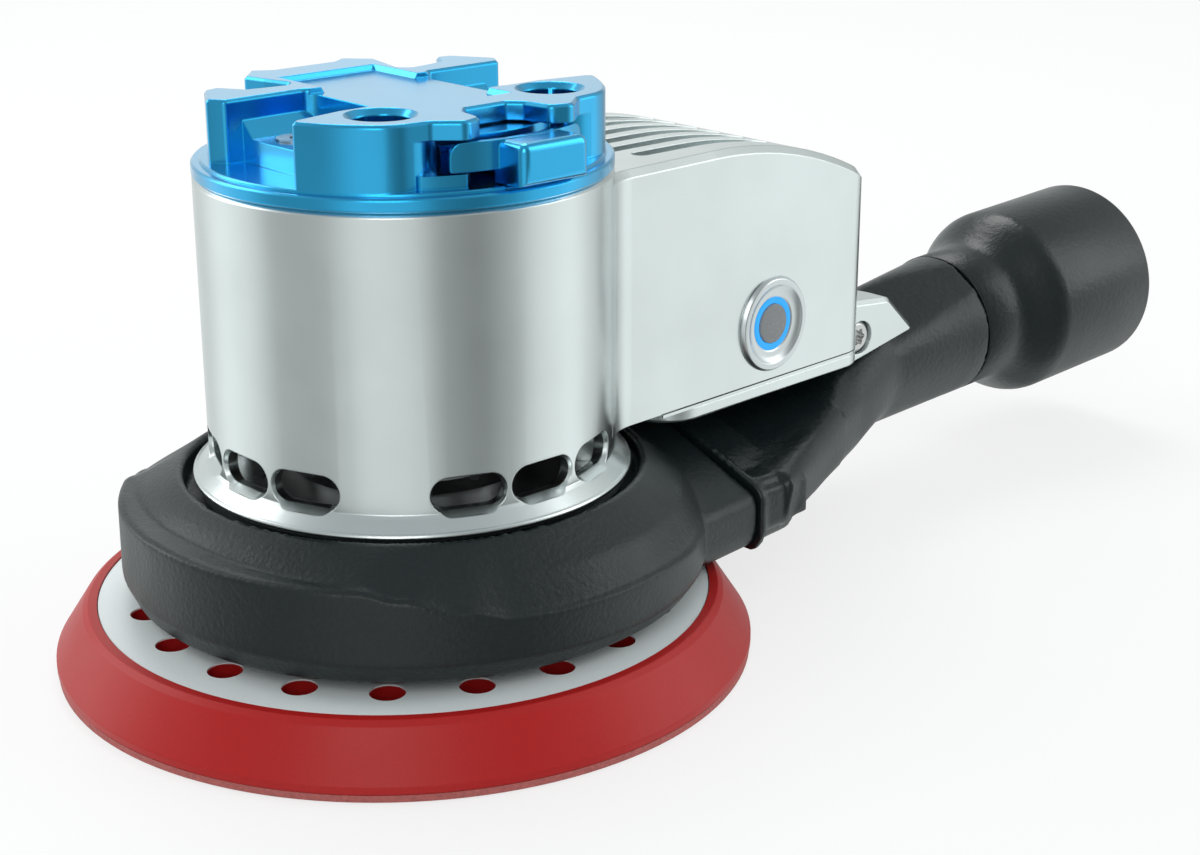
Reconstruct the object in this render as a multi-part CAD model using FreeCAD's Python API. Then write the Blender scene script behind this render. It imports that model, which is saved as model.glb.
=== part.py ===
# Random-orbital sander for a robot wrist: a silver motor housing with a control box at
# its side, a quick-change plate on top, a dust shroud and duct below, and a sanding pad
# that orbits. Millimetres. Origin on the motor axis at the sanding plane, +Z up the
# motor axis, +X along the control box and the dust outlet.
import FreeCAD, Part
import math
import os

V = FreeCAD.Vector
X_AXIS = V(1, 0, 0)
Y_AXIS = V(0, 1, 0)
Z_AXIS = V(0, 0, 1)
FAR = 300.0          # longer than the sander, for cutters that go right through
SEAT_GAP = 0.05      # radial clearance of a seated ring or shaft
RUN_GAP = 0.3        # clearance between pieces that move past each other

# Screws: small ones in covers, larger ones in the motor and the shroud
SMALL_SCREW_R = 1.25
SMALL_HEAD_R = 2.4
SMALL_HEAD_T = 1.2
FRAME_SCREW_R = 1.45
FRAME_HEAD_R = 2.5
FRAME_HEAD_T = 2.0
FRAME_SCREW_L = 10.0

# Sanding pad
ORBIT = 2.5              # offset of the pad axis from the motor axis
PAD_R = 62.5
FACE_T = 1.2             # hook-and-loop face
PAD_RIM_H = 3.4          # upright rim above the face
FOAM_TOP_Z = 11.4
FOAM_SHOULDER_R = 57.4
FOAM_SHOULDER_Z = 10.4
PLATE_R = 54.7
PLATE_TOP_Z = 11.2
PLATE_T = 2.0
PLATE_HUB_R = 18.0
PLATE_HUB_BOTTOM_Z = 4.6
DUST_HOLE_R = 3.0
DUST_HOLE_CIRCLE_R = 46.5
DUST_HOLES = 20
DUST_HOLE_TURN = -5.2    # degrees, rest position of the first hole
INNER_HOLE_R = 3.5
INNER_HOLE_CIRCLE_R = 30.0
INNER_HOLES = 8
PAD_SCREW_R = 4.0
PAD_SCREW_HEAD_R = 7.0
PAD_SCREW_HEAD_H = 3.6
PAD_SCREW_REACH = 11.0   # thread above the washer
PAD_KEY_R = 3.2          # hexagon socket, to its corners
WASHER_T = 1.0
WASHER_R = 8.2

# Pad spindle and its bearing, on the pad axis
SPINDLE_FLANGE_R = 14.0
SPINDLE_FLANGE_T = 2.4
SPINDLE_SHOULDER_R = 8.0
SPINDLE_SHOULDER_T = 1.5
BEARING_BORE_R = 6.0
PAD_BEARING_R = 14.0
PAD_BEARING_T = 10.0
BEARING_RACE_T = 2.6     # radial thickness of each race

# Eccentric head and counterweight
HEAD_R = 19.2
HEAD_BOTTOM_Z = 14.2
HEAD_DISC_R = 25.0
HEAD_DISC_T = 2.6
HEAD_TOP_Z = 28.0
HEAD_HUB_R = 9.0
WEIGHT_R = 34.5
WEIGHT_H = 8.6
WEIGHT_ANGLE = 128.0     # degrees, centred on +X
CIRCLIP_T = 0.8
CIRCLIP_WIDTH = 1.7

# Motor
SHAFT_R = 6.0
LOWER_BEARING_R = 16.0
LOWER_BEARING_T = 10.0
UPPER_BEARING_R = 14.0
UPPER_BEARING_T = 8.0
STATOR_R = 30.0
STATOR_BORE_R = 15.9
STATOR_BOTTOM_Z = 51.0
STATOR_H = 21.0
STATOR_RIM = 3.2
TEETH = 9
TOOTH_W = 4.6
TOOTH_TIP_T = 1.6
SLOT_MOUTH = 2.4
COIL_T = 1.9
COIL_OVERHANG = 2.6
ROTOR_R = 12.8
MAGNET_T = 2.3
MAGNETS = 6
MAGNET_GAP = 6.0         # degrees between neighbouring magnets
FAN_R = 26.0
FAN_EYE_R = 21.3
FAN_BLADES = 11
FAN_BLADE_T = 1.3
FAN_BLADE_H = 6.0
FAN_DISC_T = 1.4
FAN_HUB_R = 10.5
FAN_HUB_T = 5.0

# Housing
BODY_R = 35.85
BODY_TOP_Z = 87.0
BODY_BOTTOM_Z = 31.2
BODY_TOP_WALL = 3.5
BODY_EDGE = 0.8
CHAMBER_R = 33.2         # inside of the fan chamber
CHAMBER_TOP_Z = 46.5
STATOR_SEAT_TOP_Z = 74.0
UPPER_CHAMBER_R = 28.8
BEARING_BOSS_R = 18.0
SKIRT_TOP_Z = 36.9
SKIRT_R = 38.9
SKIRT_LIP_Z = 34.6
SKIRT_LIP_H = 1.3
SKIRT_FOOT_R = 37.6
VENT_BOTTOM_Z = 37.15
VENT_H = 5.35
VENT_W = 12.6
VENT_BEVEL = 0.8
VENT_STEP = 22.5         # degrees between neighbouring vents
VENT_PLACES = [3, 4, 5, 7, 8, 9, 11, 12, 13]
SCREW_BOSS_R = 3.4
SCREW_BOSS_CIRCLE_R = 30.0
SCREW_BOSS_H = 11.0
BOX_BOSS_H = 10.0

# Control box, cast in one piece with the housing
BOX_END_X = 98.0
BOX_ROOT_HALF_W = 26.4
BOX_END_HALF_W = 21.3
BOX_CORNER_R = 6.5
BOX_BLEND_R = 12.0
BOX_WALL = 2.4
BOX_TOP_Z = 85.6
BOX_TOP_WALL = 5.4
BOX_CREST_X = BOX_END_X - 46.0
BOX_CREST_R = 97.0
BOX_EDGE = 1.3
BOX_BOTTOM_Z = 36.2
COVER_T = 2.4
COVER_ROOT_X = BODY_R + 2.35
COVER_ROOT_R = 9.0
GASKET_T = 0.8
UNDERCUT_Z = 42.6        # underside of the box where it leaves the round body
UNDERCUT_X = BODY_R + 1.15
GROOVES = 6
GROOVE_W = 3.6
GROOVE_PITCH = 6.2
GROOVE_START_X = BODY_R + 2.15
GROOVE_FLOOR_Z = 82.6
COVER_SCREW_INSET = 5.2
WIRE_PORT_R = 3.5
WIRE_PORT_RISE = 3.8     # above the stator

# Power button, on the front face of the control box
BUTTON_X = 68.3
BUTTON_Z = 50.3
BUTTON_R = 3.95
BUTTON_TRAVEL = 0.6
LIGHT_R = 5.15
LIGHT_W = 1.1
BEZEL_R = 9.2
BEZEL_LIP = 1.0
BUTTON_DEPTH = 5.0
BUTTON_SPRING_T = 0.35

# Power and signal connector, on the far end of the control box
PLUG_Z = 59.8
PLUG_R = 6.5
PLUG_REACH = 14.0
PLUG_NUT_R = 9.0
PLUG_NUT_T = 3.0
PLUG_BORE_R = 4.6
PLUG_PINS = 8
PLUG_PIN_R = 0.5
PLUG_PIN_CIRCLE_R = 2.75

# Control board inside the box
BOARD_Z = 41.0
BOARD_T = 1.6
BOARD_X0 = BODY_R + BOX_WALL + 3.75
BOARD_END_X = BOX_END_X - BOX_WALL - 7.6
BOARD_W = 30.0
CAPACITOR_R = 5.0
CAPACITOR_H = 16.0
CAPACITOR_PITCH = 16.0
SWITCHES = 6
SWITCH_W = 4.6
SWITCH_L = 6.2
SWITCH_T = 2.2
STANDOFF_R = 2.6
STANDOFF_INSET = 4.0

# Quick-change plate
PLATE_DISC_R = 35.9
PLATE_DISC_T = 2.3
PLATE_STEP_R = 34.4
PLATE_STEP_T = 0.5
TRUSS_TOP_Z = 100.45
TRUSS_EDGE_R = 34.3
BOLT_CIRCLE_R = 25.0
BOLT_HOLE_R = 5.0
BOLT_HOLE_DEPTH = 8.0
POCKET_DEPTH = 1.0
POCKET_HALF_W = 9.6
POCKET_FRONT_Y = -16.0
POCKET_REAR_Y = 21.2
ARM_WEB_Z = 94.6
LIP_Z = 97.0
LIP_T = 1.5
LIP_R = 27.2
LIP_HALF_W = 14.0
PLATE_SCREW_X = 20.0
PLATE_SCREW_Y = 2.4
PLATE_SCREW_R = 2.0
PLATE_SCREW_HEAD_R = 3.5

# Release button of the quick-change plate: a block on a curved strip
RELEASE_X0 = -5.7
RELEASE_X1 = 8.0
RELEASE_FRONT_Y = -38.2
RELEASE_BACK_Y = -31.0
RELEASE_TOP_Z = 95.9
RELEASE_EDGE = 1.4
RELEASE_TRAVEL = 2.5
STRIP_R = 32.8
STRIP_T = 1.2
STRIP_START = 242.0      # degrees
STRIP_END = 298.0
STRIP_Z0 = 92.3
STRIP_Z1 = 97.0
STRIP_CORNER_R = 2.2
STRIP_ROOM_TOP_Z = 97.4
STRIP_ROOM_HALF_W = 18.0
STRIP_ROOM_Y = -24.8
BAR_TOP_Z = 92.0         # low bar on the disc, below the strip
BAR_START = 237.0
BAR_END = 251.5
BAR_W = 3.0
STEM_W = 6.0
STEM_H = 4.0
STEM_BACK_Y = -20.0
STEM_BORE_L = 6.0
CAVITY_HALF_W = 11.0
SPRING_WIRE_R = 0.3
SPRING_R = 1.3           # to the middle of the wire
SPRING_BORE_R = 1.75

# Dust shroud
SHROUD_WALL = 2.2
SHROUD_BOTTOM_Z = 12.3
SHROUD_BOTTOM_R = 47.0
SHROUD_MAX_R = 52.8
CREASE_R = 52.3
CREASE_Z = 25.8
CREASE_TILT = 6.2        # degrees, the crease is high at -X
SHROUD_RIM_R = 41.3
SHROUD_RIM_Z = 34.4
SHROUD_MOUTH_R = 40.5
SHROUD_FLANGE_T = 2.4
SHROUD_FLANGE_BORE_R = 27.0
SHROUD_SCREW_CIRCLE_R = 35.6

# Stub of the shroud and the socket of the duct
STUB_X0 = 20.0
STUB_END_X = 51.0
SOCKET_GAP = 0.3
SOCKET_END_X = 62.6
STUB_HALF_W = 36.4
STUB_TAPER = 0.118
STUB_BOTTOM_Z = 12.3
STUB_SIDE_R = 5.2
STUB_SHOULDER_Z = 24.4
STUB_SHOULDER_IN = 2.4
STUB_ROOF_HALF_W = 8.0
STUB_ROOF_Z = 34.0
DUCT_WALL = 2.2
COLLAR_RIM = 1.1
COLLAR_RIM_T = 1.5
TONGUE_REACH = 6.0       # how far the duct's tongue enters the stub

# Duct and outlet tube
THROAT_X = BOX_END_X + 0.5
THROAT_HALF_W = 20.8
THROAT_TOP_Z = 35.2
FUNNEL_HALF_W = 36.0
FUNNEL_BOTTOM_Z = 12.9
FUNNEL_ROOF_Z = 33.4
FUNNEL_ROOF_SLOPE = 0.26
TUBE_R = 15.35
TUBE_WALL = 2.6
TUBE_TILT = 3.0          # degrees, the outlet climbs
TUBE_START_X = BOX_END_X + 22.0
FACET_X = BOX_END_X + 20.2    # a point on the flat of each shoulder of the tube
FACET_Y = 14.3
FACET_Z = 34.0
FACET_TURN = 33.3        # degrees
FACET_LEAN = 0.136
SEAM_X = BOX_END_X + 48.0
SEAM_Z = 29.9

# Saddle that holds the duct: a visor over the tube's root between two cheeks
SADDLE_HALF_W = 15.6
CHEEK_T = 3.2
SADDLE_ROOT_X = BOX_END_X - BOX_WALL / 2
SADDLE_ROOT_TOP_Z = 47.2
SADDLE_TOP_X = BOX_END_X + 13.3
SADDLE_TOP_Z = 45.8
SADDLE_TIP_X = BOX_END_X + 20.8
SADDLE_TIP_Z = 38.6
SADDLE_FOOT_X = BOX_END_X + 0.7
SADDLE_FOOT_Z = 33.9
SADDLE_NOSE_R = 3.0
SADDLE_EDGE = 1.0
VISOR_T = 2.2
SADDLE_GAP = 0.4         # between the saddle and the duct
VISOR_FRONT_X = BOX_END_X + 10.9
VISOR_CURVE_R = 28.6
LUG_SCREW_X = BOX_END_X + 4.3
LUG_SCREW_Z = 39.0
LUG_SCREW_R = 2.0
LUG_SCREW_L = 7.0
LUG_SCREW_HEAD_R = 3.4
LUG_SCREW_HEAD_T = 1.4
LUG_SCREW_SINK = 0.4
DUCT_BOSS_R = 4.2

# Hose cuff, on the tube axis from the seam outwards
SEAM_GAP = 0.3
CUFF_NECK_L = 11.5
CUFF_SHOULDER_L = 11.0
CUFF_L = 52.4
CUFF_R = 20.9
CUFF_WALL = 2.3
CUFF_STOP_L = 25.0       # depth of the hose bore from the neck side
SPIGOT_L = 11.0
SPIGOT_WALL = 2.0
SEAL_R = 0.75            # section of the spigot's sealing ring

# Values that follow from the ones above
RACE_TOP = PLATE_TOP_Z + SPINDLE_FLANGE_T + SPINDLE_SHOULDER_T + PAD_BEARING_T
PAD_BEARING_Z = RACE_TOP - PAD_BEARING_T
LOWER_BEARING_Z = BODY_BOTTOM_Z + 0.4
LOWER_BEARING_TOP = LOWER_BEARING_Z + LOWER_BEARING_T
UPPER_BEARING_TOP = BODY_TOP_Z - BODY_TOP_WALL - 0.5
UPPER_BEARING_Z = UPPER_BEARING_TOP - UPPER_BEARING_T
STATOR_TOP_Z = STATOR_BOTTOM_Z + STATOR_H
SLOT_MID_Z = VENT_BOTTOM_Z + VENT_H / 2
DISC_TOP_Z = BODY_TOP_Z + PLATE_DISC_T
STEP_TOP_Z = DISC_TOP_Z + PLATE_STEP_T
COVER_TOP_Z = BOX_BOTTOM_Z + COVER_T
SHELL_BOTTOM_Z = COVER_TOP_Z + GASKET_T
TUBE_AXIS = V(math.cos(math.radians(TUBE_TILT)), 0, math.sin(math.radians(TUBE_TILT)))
SEAM = V(SEAM_X, 0, SEAM_Z)
BOX_TAPER = (BOX_ROOT_HALF_W - BOX_END_HALF_W) / BOX_END_X
FACE_TURN = math.degrees(math.atan(BOX_TAPER))


def save(name, shape):
    """Write one sub-part as its own STEP file."""
    if not shape.isValid():
        raise ValueError(name + " is not a valid shape")
    shape.exportStep("parts/" + name + ".step")
    print(name, len(shape.Solids), "solids, volume", round(shape.Volume))


def disc(radius, z0, z1, x=0.0, y=0.0):
    return Part.makeCylinder(radius, z1 - z0, V(x, y, z0))


def ring(outer, inner, z0, z1, x=0.0, y=0.0):
    return disc(outer, z0, z1, x, y).cut(disc(inner, z0 - 1, z1 + 1, x, y))


def block(x0, x1, y0, y1, z0, z1):
    return Part.makeBox(x1 - x0, y1 - y0, z1 - z0, V(x0, y0, z0))


def prism(points, z0, z1):
    """Upright prism on a plan outline."""
    corners = [V(x, y, z0) for x, y in points]
    wire = Part.makePolygon(corners + corners[:1])
    return Part.Face(wire).extrude(V(0, 0, z1 - z0))


def side_prism(points, y0, y1):
    """Prism along Y on an outline of x and z."""
    corners = [V(x, y0, z) for x, z in points]
    wire = Part.makePolygon(corners + corners[:1])
    return Part.Face(wire).extrude(V(0, y1 - y0, 0))


def turned(steps, x=0.0):
    """Solid of revolution about an upright axis at x. A step is a point (r, z), or a
    pair of points for an arc through the first to the second."""
    edges = []
    start = steps[0]
    for step in steps[1:] + steps[:1]:
        a = V(x + start[0], 0, start[1])
        if isinstance(step[0], tuple):
            middle = V(x + step[0][0], 0, step[0][1])
            end = V(x + step[1][0], 0, step[1][1])
            edges.append(Part.Arc(a, middle, end).toShape())
            start = step[1]
        else:
            end = V(x + step[0], 0, step[1])
            edges.append(Part.LineSegment(a, end).toShape())
            start = step
    face = Part.Face(Part.Wire(edges))
    return face.revolve(V(x, 0, 0), Z_AXIS, 360)


def on_tube(shape):
    """Lay a shape made about the Z axis onto the outlet's axis, z = 0 at the seam."""
    placed = shape.copy()
    placed.rotate(V(0, 0, 0), Y_AXIS, 90 - TUBE_TILT)
    placed.translate(SEAM)
    return placed


def coil_spring(radius, wire, length, turns):
    """Coil standing on z = 0 with its wire's ends inside the length."""
    pitch = (length - 2 * wire) / turns
    helix = Part.makeHelix(pitch, pitch * turns, radius)
    section = Part.Wire(Part.makeCircle(wire, V(radius, 0, 0), Y_AXIS))
    coil = Part.Wire(helix).makePipeShell([section], True, True)
    coil.translate(V(0, 0, wire))
    return coil


def around(shape, count, start=0.0, centre=(0.0, 0.0)):
    """Copies of a shape at equal steps about an upright axis."""
    copies = []
    for i in range(count):
        copy = shape.copy()
        copy.rotate(V(centre[0], centre[1], 0), Z_AXIS, start + 360.0 * i / count)
        copies.append(copy)
    return copies


def upright_edges(shape, test):
    """Straight vertical edges whose place passes a test of x and y."""
    found = []
    for edge in shape.Edges:
        ends = [vertex.Point for vertex in edge.Vertexes]
        if len(ends) != 2:
            continue
        flat = math.hypot(ends[0].x - ends[1].x, ends[0].y - ends[1].y)
        if flat < 1e-4 and abs(ends[0].z - ends[1].z) > 0.1 and test(ends[0].x, ends[0].y):
            found.append(edge)
    return found


def box_half_width(x):
    return BOX_ROOT_HALF_W - BOX_TAPER * x


def box_crown(x, lowered=0.0):
    """Height of the control box's top along its length."""
    if x <= BOX_CREST_X:
        return BOX_TOP_Z - lowered
    run = x - BOX_CREST_X
    return BOX_TOP_Z - lowered - BOX_CREST_R + math.sqrt(BOX_CREST_R ** 2 - run ** 2)


def above_crown(lowered):
    """Everything above the box's crown, as a cutter."""
    middle = (BOX_CREST_X + BOX_END_X) / 2
    beyond = BOX_END_X + 10
    crest = V(BOX_CREST_X, -FAR, box_crown(BOX_CREST_X, lowered))
    edges = [
        Part.LineSegment(V(-FAR, -FAR, crest.z), crest).toShape(),
        Part.Arc(
            crest,
            V(middle, -FAR, box_crown(middle, lowered)),
            V(beyond, -FAR, box_crown(beyond, lowered)),
        ).toShape(),
        Part.LineSegment(V(beyond, -FAR, box_crown(beyond, lowered)), V(beyond, -FAR, FAR)).toShape(),
        Part.LineSegment(V(beyond, -FAR, FAR), V(-FAR, -FAR, FAR)).toShape(),
        Part.LineSegment(V(-FAR, -FAR, FAR), V(-FAR, -FAR, crest.z)).toShape(),
    ]
    return Part.Face(Part.Wire(edges)).extrude(V(0, 2 * FAR, 0))


def box_plan(x0, inset, z0, z1):
    """Tapered plan of the control box from x0, rounded at its far corners."""
    end = BOX_END_X - inset
    near = box_half_width(x0) - inset
    far = box_half_width(end) - inset
    solid = prism([(x0, -near), (end, -far), (end, far), (x0, near)], z0, z1)
    corners = upright_edges(solid, lambda x, y: x > end - 1)
    return solid.makeFillet(BOX_CORNER_R - inset, corners)


def face_frame(shape):
    """Lay a shape made about Z, with z = 0 at its face, onto the button's place."""
    placed = shape.copy()
    placed.rotate(V(0, 0, 0), X_AXIS, 90)
    placed.rotate(V(0, 0, 0), Z_AXIS, FACE_TURN)
    placed.translate(V(BUTTON_X, -box_half_width(BUTTON_X), BUTTON_Z))
    return placed


# Sanding pad
def dust_holes(z0, z1):
    """Cutters for both rings of dust holes."""
    outer = disc(DUST_HOLE_R, z0, z1, -ORBIT + DUST_HOLE_CIRCLE_R)
    inner = disc(INNER_HOLE_R, z0, z1, -ORBIT + INNER_HOLE_CIRCLE_R)
    cutters = around(outer, DUST_HOLES, DUST_HOLE_TURN, (-ORBIT, 0))
    return cutters + around(inner, INNER_HOLES, DUST_HOLE_TURN, (-ORBIT, 0))


def hook_face():
    solid = disc(PAD_R - 0.2, 0, FACE_T, -ORBIT)
    return solid.cut([disc(PLATE_HUB_R - 6, -1, FACE_T + 1, -ORBIT)] + dust_holes(-1, FACE_T + 1))


def pad_foam():
    rim_z = FACE_T + PAD_RIM_H
    crown = (FOAM_SHOULDER_R - 0.6, FOAM_TOP_Z - 0.3)
    solid = turned(
        [
            (PLATE_HUB_R + RUN_GAP, FACE_T),
            (PAD_R, FACE_T),
            (PAD_R, rim_z),
            (FOAM_SHOULDER_R, FOAM_SHOULDER_Z),
            (crown, (PLATE_R + 1.2, FOAM_TOP_Z)),
            (PLATE_R + 0.1, FOAM_TOP_Z),
            (PLATE_R + 0.1, PLATE_TOP_Z - PLATE_T),
            (PLATE_HUB_R + RUN_GAP, PLATE_TOP_Z - PLATE_T),
        ],
        -ORBIT,
    )
    return solid.cut(dust_holes(0, FOAM_TOP_Z))


def backing_plate():
    washer_z = PAD_WASHER_TOP_Z
    solid = disc(PLATE_R, PLATE_TOP_Z - PLATE_T, PLATE_TOP_Z, -ORBIT)
    solid = solid.fuse(disc(PLATE_HUB_R, PLATE_HUB_BOTTOM_Z, PLATE_TOP_Z, -ORBIT)).removeSplitter()
    bore = disc(PAD_SCREW_R + 0.2, 0, PLATE_TOP_Z + 1, -ORBIT)
    sink = disc(WASHER_R + 0.3, 0, washer_z, -ORBIT)
    return solid.cut([bore, sink] + dust_holes(PLATE_HUB_BOTTOM_Z, PLATE_TOP_Z + 1))


PAD_WASHER_TOP_Z = PLATE_TOP_Z - 3.0


def pad_washer():
    return ring(WASHER_R, PAD_SCREW_R + 0.2, PAD_WASHER_TOP_Z - WASHER_T, PAD_WASHER_TOP_Z, -ORBIT)


def pad_screw():
    head_top = PAD_WASHER_TOP_Z - WASHER_T
    head_bottom = head_top - PAD_SCREW_HEAD_H
    solid = disc(PAD_SCREW_HEAD_R, head_bottom, head_top, -ORBIT)
    solid = solid.fuse(disc(PAD_SCREW_R, head_top, head_top + PAD_SCREW_REACH, -ORBIT))
    key = [(-ORBIT + PAD_KEY_R * math.cos(math.radians(60 * i)), PAD_KEY_R * math.sin(math.radians(60 * i)))
           for i in range(6)]
    return solid.cut(prism(key, head_bottom - 1, head_bottom + 2.4)).removeSplitter()


def pad_spindle():
    flange_top = PLATE_TOP_Z + SPINDLE_FLANGE_T
    solid = turned(
        [
            (0, PLATE_TOP_Z),
            (SPINDLE_FLANGE_R, PLATE_TOP_Z),
            (SPINDLE_FLANGE_R, flange_top),
            (SPINDLE_SHOULDER_R, flange_top),
            (SPINDLE_SHOULDER_R, PAD_BEARING_Z),
            (BEARING_BORE_R, PAD_BEARING_Z),
            (BEARING_BORE_R, RACE_TOP),
            (0, RACE_TOP),
        ],
        -ORBIT,
    )
    thread_top = PAD_WASHER_TOP_Z - WASHER_T + PAD_SCREW_REACH + 1
    return solid.cut(disc(PAD_SCREW_R + SEAT_GAP, 0, thread_top, -ORBIT))


# Bearings: each has an inner race, and an outer race that carries the shields
def inner_race(bore, z0, z1, x=0.0):
    return ring(bore + BEARING_RACE_T, bore + SEAT_GAP, z0, z1, x)


def outer_race(bore, outer, z0, z1, x=0.0):
    shield_r = bore + BEARING_RACE_T + RUN_GAP
    solid = ring(outer, shield_r, z0, z1, x)
    return solid.cut(ring(outer - BEARING_RACE_T, shield_r - 1, z0 + 1, z1 - 1, x))


# Eccentric head, counterweight and what holds them
def eccentric_head():
    pocket_r = PAD_BEARING_R + SEAT_GAP
    solid = disc(HEAD_R, HEAD_BOTTOM_Z, HEAD_TOP_Z)
    solid = solid.fuse(disc(HEAD_DISC_R, HEAD_TOP_Z - HEAD_DISC_T, HEAD_TOP_Z))
    solid = solid.fuse(disc(HEAD_HUB_R, HEAD_TOP_Z, LOWER_BEARING_Z)).removeSplitter()
    solid = solid.cut(disc(pocket_r, 0, RACE_TOP, -ORBIT))
    solid = solid.cut(disc(SHAFT_R + SEAT_GAP, RACE_TOP, LOWER_BEARING_Z + 1))
    return solid.cut(weight_screw_holes(0.1))


def bearing_circlip():
    z1 = PAD_BEARING_Z - 0.1
    solid = ring(PAD_BEARING_R, PAD_BEARING_R - CIRCLIP_WIDTH, z1 - CIRCLIP_T, z1, -ORBIT)
    mouth = block(-ORBIT - PAD_BEARING_R - 1, -ORBIT - 5, -2.5, 2.5, z1 - 2, z1 + 1)
    return solid.cut(mouth)


def sector(outer, inner, angle, z0, z1):
    """Ring segment of the given angle, centred on +X."""
    solid = Part.makeCylinder(outer, z1 - z0, V(0, 0, z0), Z_AXIS, angle)
    solid = solid.cut(disc(inner, z0 - 1, z1 + 1))
    solid.rotate(V(0, 0, 0), Z_AXIS, -angle / 2)
    return solid


def weight_screw_places():
    r = (HEAD_R + HEAD_DISC_R) / 2
    turn = math.radians(WEIGHT_ANGLE / 4)
    return [(r * math.cos(turn), sign * r * math.sin(turn)) for sign in (-1, 1)]


def weight_screw_holes(extra):
    cutters = []
    for x, y in weight_screw_places():
        head = disc(SMALL_HEAD_R + extra, HEAD_TOP_Z - SMALL_HEAD_T - 0.1 - extra, HEAD_TOP_Z + 1, x, y)
        shank = disc(SMALL_SCREW_R + extra, HEAD_TOP_Z - WEIGHT_H, HEAD_TOP_Z, x, y)
        cutters += [head, shank]
    return cutters


def counterweight():
    z1 = HEAD_TOP_Z - HEAD_DISC_T
    solid = sector(WEIGHT_R, HEAD_R + SEAT_GAP, WEIGHT_ANGLE, z1 - WEIGHT_H, z1)
    return solid.cut(weight_screw_holes(0.05))


def counterweight_screws():
    screws = []
    for x, y in weight_screw_places():
        seat = HEAD_TOP_Z - SMALL_HEAD_T - 0.1
        head = disc(SMALL_HEAD_R, seat, HEAD_TOP_Z - 0.1, x, y)
        shank = disc(SMALL_SCREW_R, HEAD_TOP_Z - WEIGHT_H + 0.5, seat, x, y)
        screws.append(head.fuse(shank).removeSplitter())
    return Part.makeCompound(screws)


# Motor
def motor_shaft():
    solid = disc(SHAFT_R, RACE_TOP + 0.3, UPPER_BEARING_TOP)
    return solid.makeChamfer(0.5, [edge for edge in solid.Edges if edge.Curve.TypeId == "Part::GeomCircle"])


def rotor_core():
    collar = SHAFT_R + 3.5
    bore = SHAFT_R + SEAT_GAP
    solid = disc(ROTOR_R, STATOR_BOTTOM_Z, STATOR_TOP_Z)
    solid = solid.fuse(disc(collar, FAN_TOP_Z, UPPER_BEARING_Z)).removeSplitter()
    return solid.cut(disc(bore, 0, FAR))


FAN_DISC_Z = LOWER_BEARING_TOP + 2.4
FAN_TOP_Z = FAN_DISC_Z + FAN_HUB_T


def rotor_magnets():
    span = 360.0 / MAGNETS - MAGNET_GAP
    magnet = sector(ROTOR_R + MAGNET_T, ROTOR_R + SEAT_GAP, span, STATOR_BOTTOM_Z, STATOR_TOP_Z)
    return Part.makeCompound(around(magnet, MAGNETS))


def cooling_fan():
    bore = SHAFT_R + SEAT_GAP
    solid = disc(FAN_R, FAN_DISC_Z, FAN_DISC_Z + FAN_DISC_T)
    solid = solid.fuse(disc(FAN_HUB_R, FAN_DISC_Z, FAN_TOP_Z))
    blade = block(FAN_EYE_R, FAN_R, -FAN_BLADE_T / 2, FAN_BLADE_T / 2,
                  FAN_DISC_Z - FAN_BLADE_H, FAN_DISC_Z + FAN_DISC_T)
    blade.rotate(V(FAN_EYE_R, 0, 0), Z_AXIS, -32)
    blade = blade.common(disc(FAN_R, 0, FAR))
    solid = solid.multiFuse(around(blade, FAN_BLADES)).removeSplitter()
    return solid.cut(disc(bore, 0, FAR))


def fan_spacer():
    return ring(SHAFT_R + 2.4, SHAFT_R + SEAT_GAP, LOWER_BEARING_TOP, FAN_DISC_Z)


def stator_core():
    rim = ring(STATOR_R, STATOR_R - STATOR_RIM, STATOR_BOTTOM_Z, STATOR_TOP_Z)
    tip_angle = 360.0 / TEETH - math.degrees(SLOT_MOUTH / STATOR_BORE_R)
    tooth = block(STATOR_BORE_R + 0.5, STATOR_R - 1, -TOOTH_W / 2, TOOTH_W / 2,
                  STATOR_BOTTOM_Z, STATOR_TOP_Z)
    tip = sector(STATOR_BORE_R + TOOTH_TIP_T, STATOR_BORE_R, tip_angle, STATOR_BOTTOM_Z, STATOR_TOP_Z)
    tooth = tooth.fuse(tip)
    return rim.multiFuse(around(tooth, TEETH)).removeSplitter()


def stator_windings():
    """One coil round each tooth."""
    x0 = STATOR_BORE_R + TOOTH_TIP_T + 0.4
    x1 = STATOR_R - STATOR_RIM - 0.4
    half = TOOTH_W / 2 + 0.15
    coil = block(x0, x1, -half - COIL_T, half + COIL_T,
                 STATOR_BOTTOM_Z - COIL_OVERHANG, STATOR_TOP_Z + COIL_OVERHANG)
    coil = coil.cut(block(x0 - 1, x1 + 1, -half, half, STATOR_BOTTOM_Z - 0.1, STATOR_TOP_Z + 0.1))
    wedge = prism([(x0 - 6.2, 0), (x1 + 2, (x1 + 2 - x0 + 6.2) * math.tan(math.radians(180.0 / TEETH - 1))),
                   (x1 + 2, -(x1 + 2 - x0 + 6.2) * math.tan(math.radians(180.0 / TEETH - 1)))], 0, FAR)
    return Part.makeCompound(around(coil.common(wedge), TEETH))


def bearing_wave_spring():
    z0 = UPPER_BEARING_TOP + 0.05
    return ring(UPPER_BEARING_R - 0.4, UPPER_BEARING_R - 3, z0, z0 + 0.4)


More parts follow.
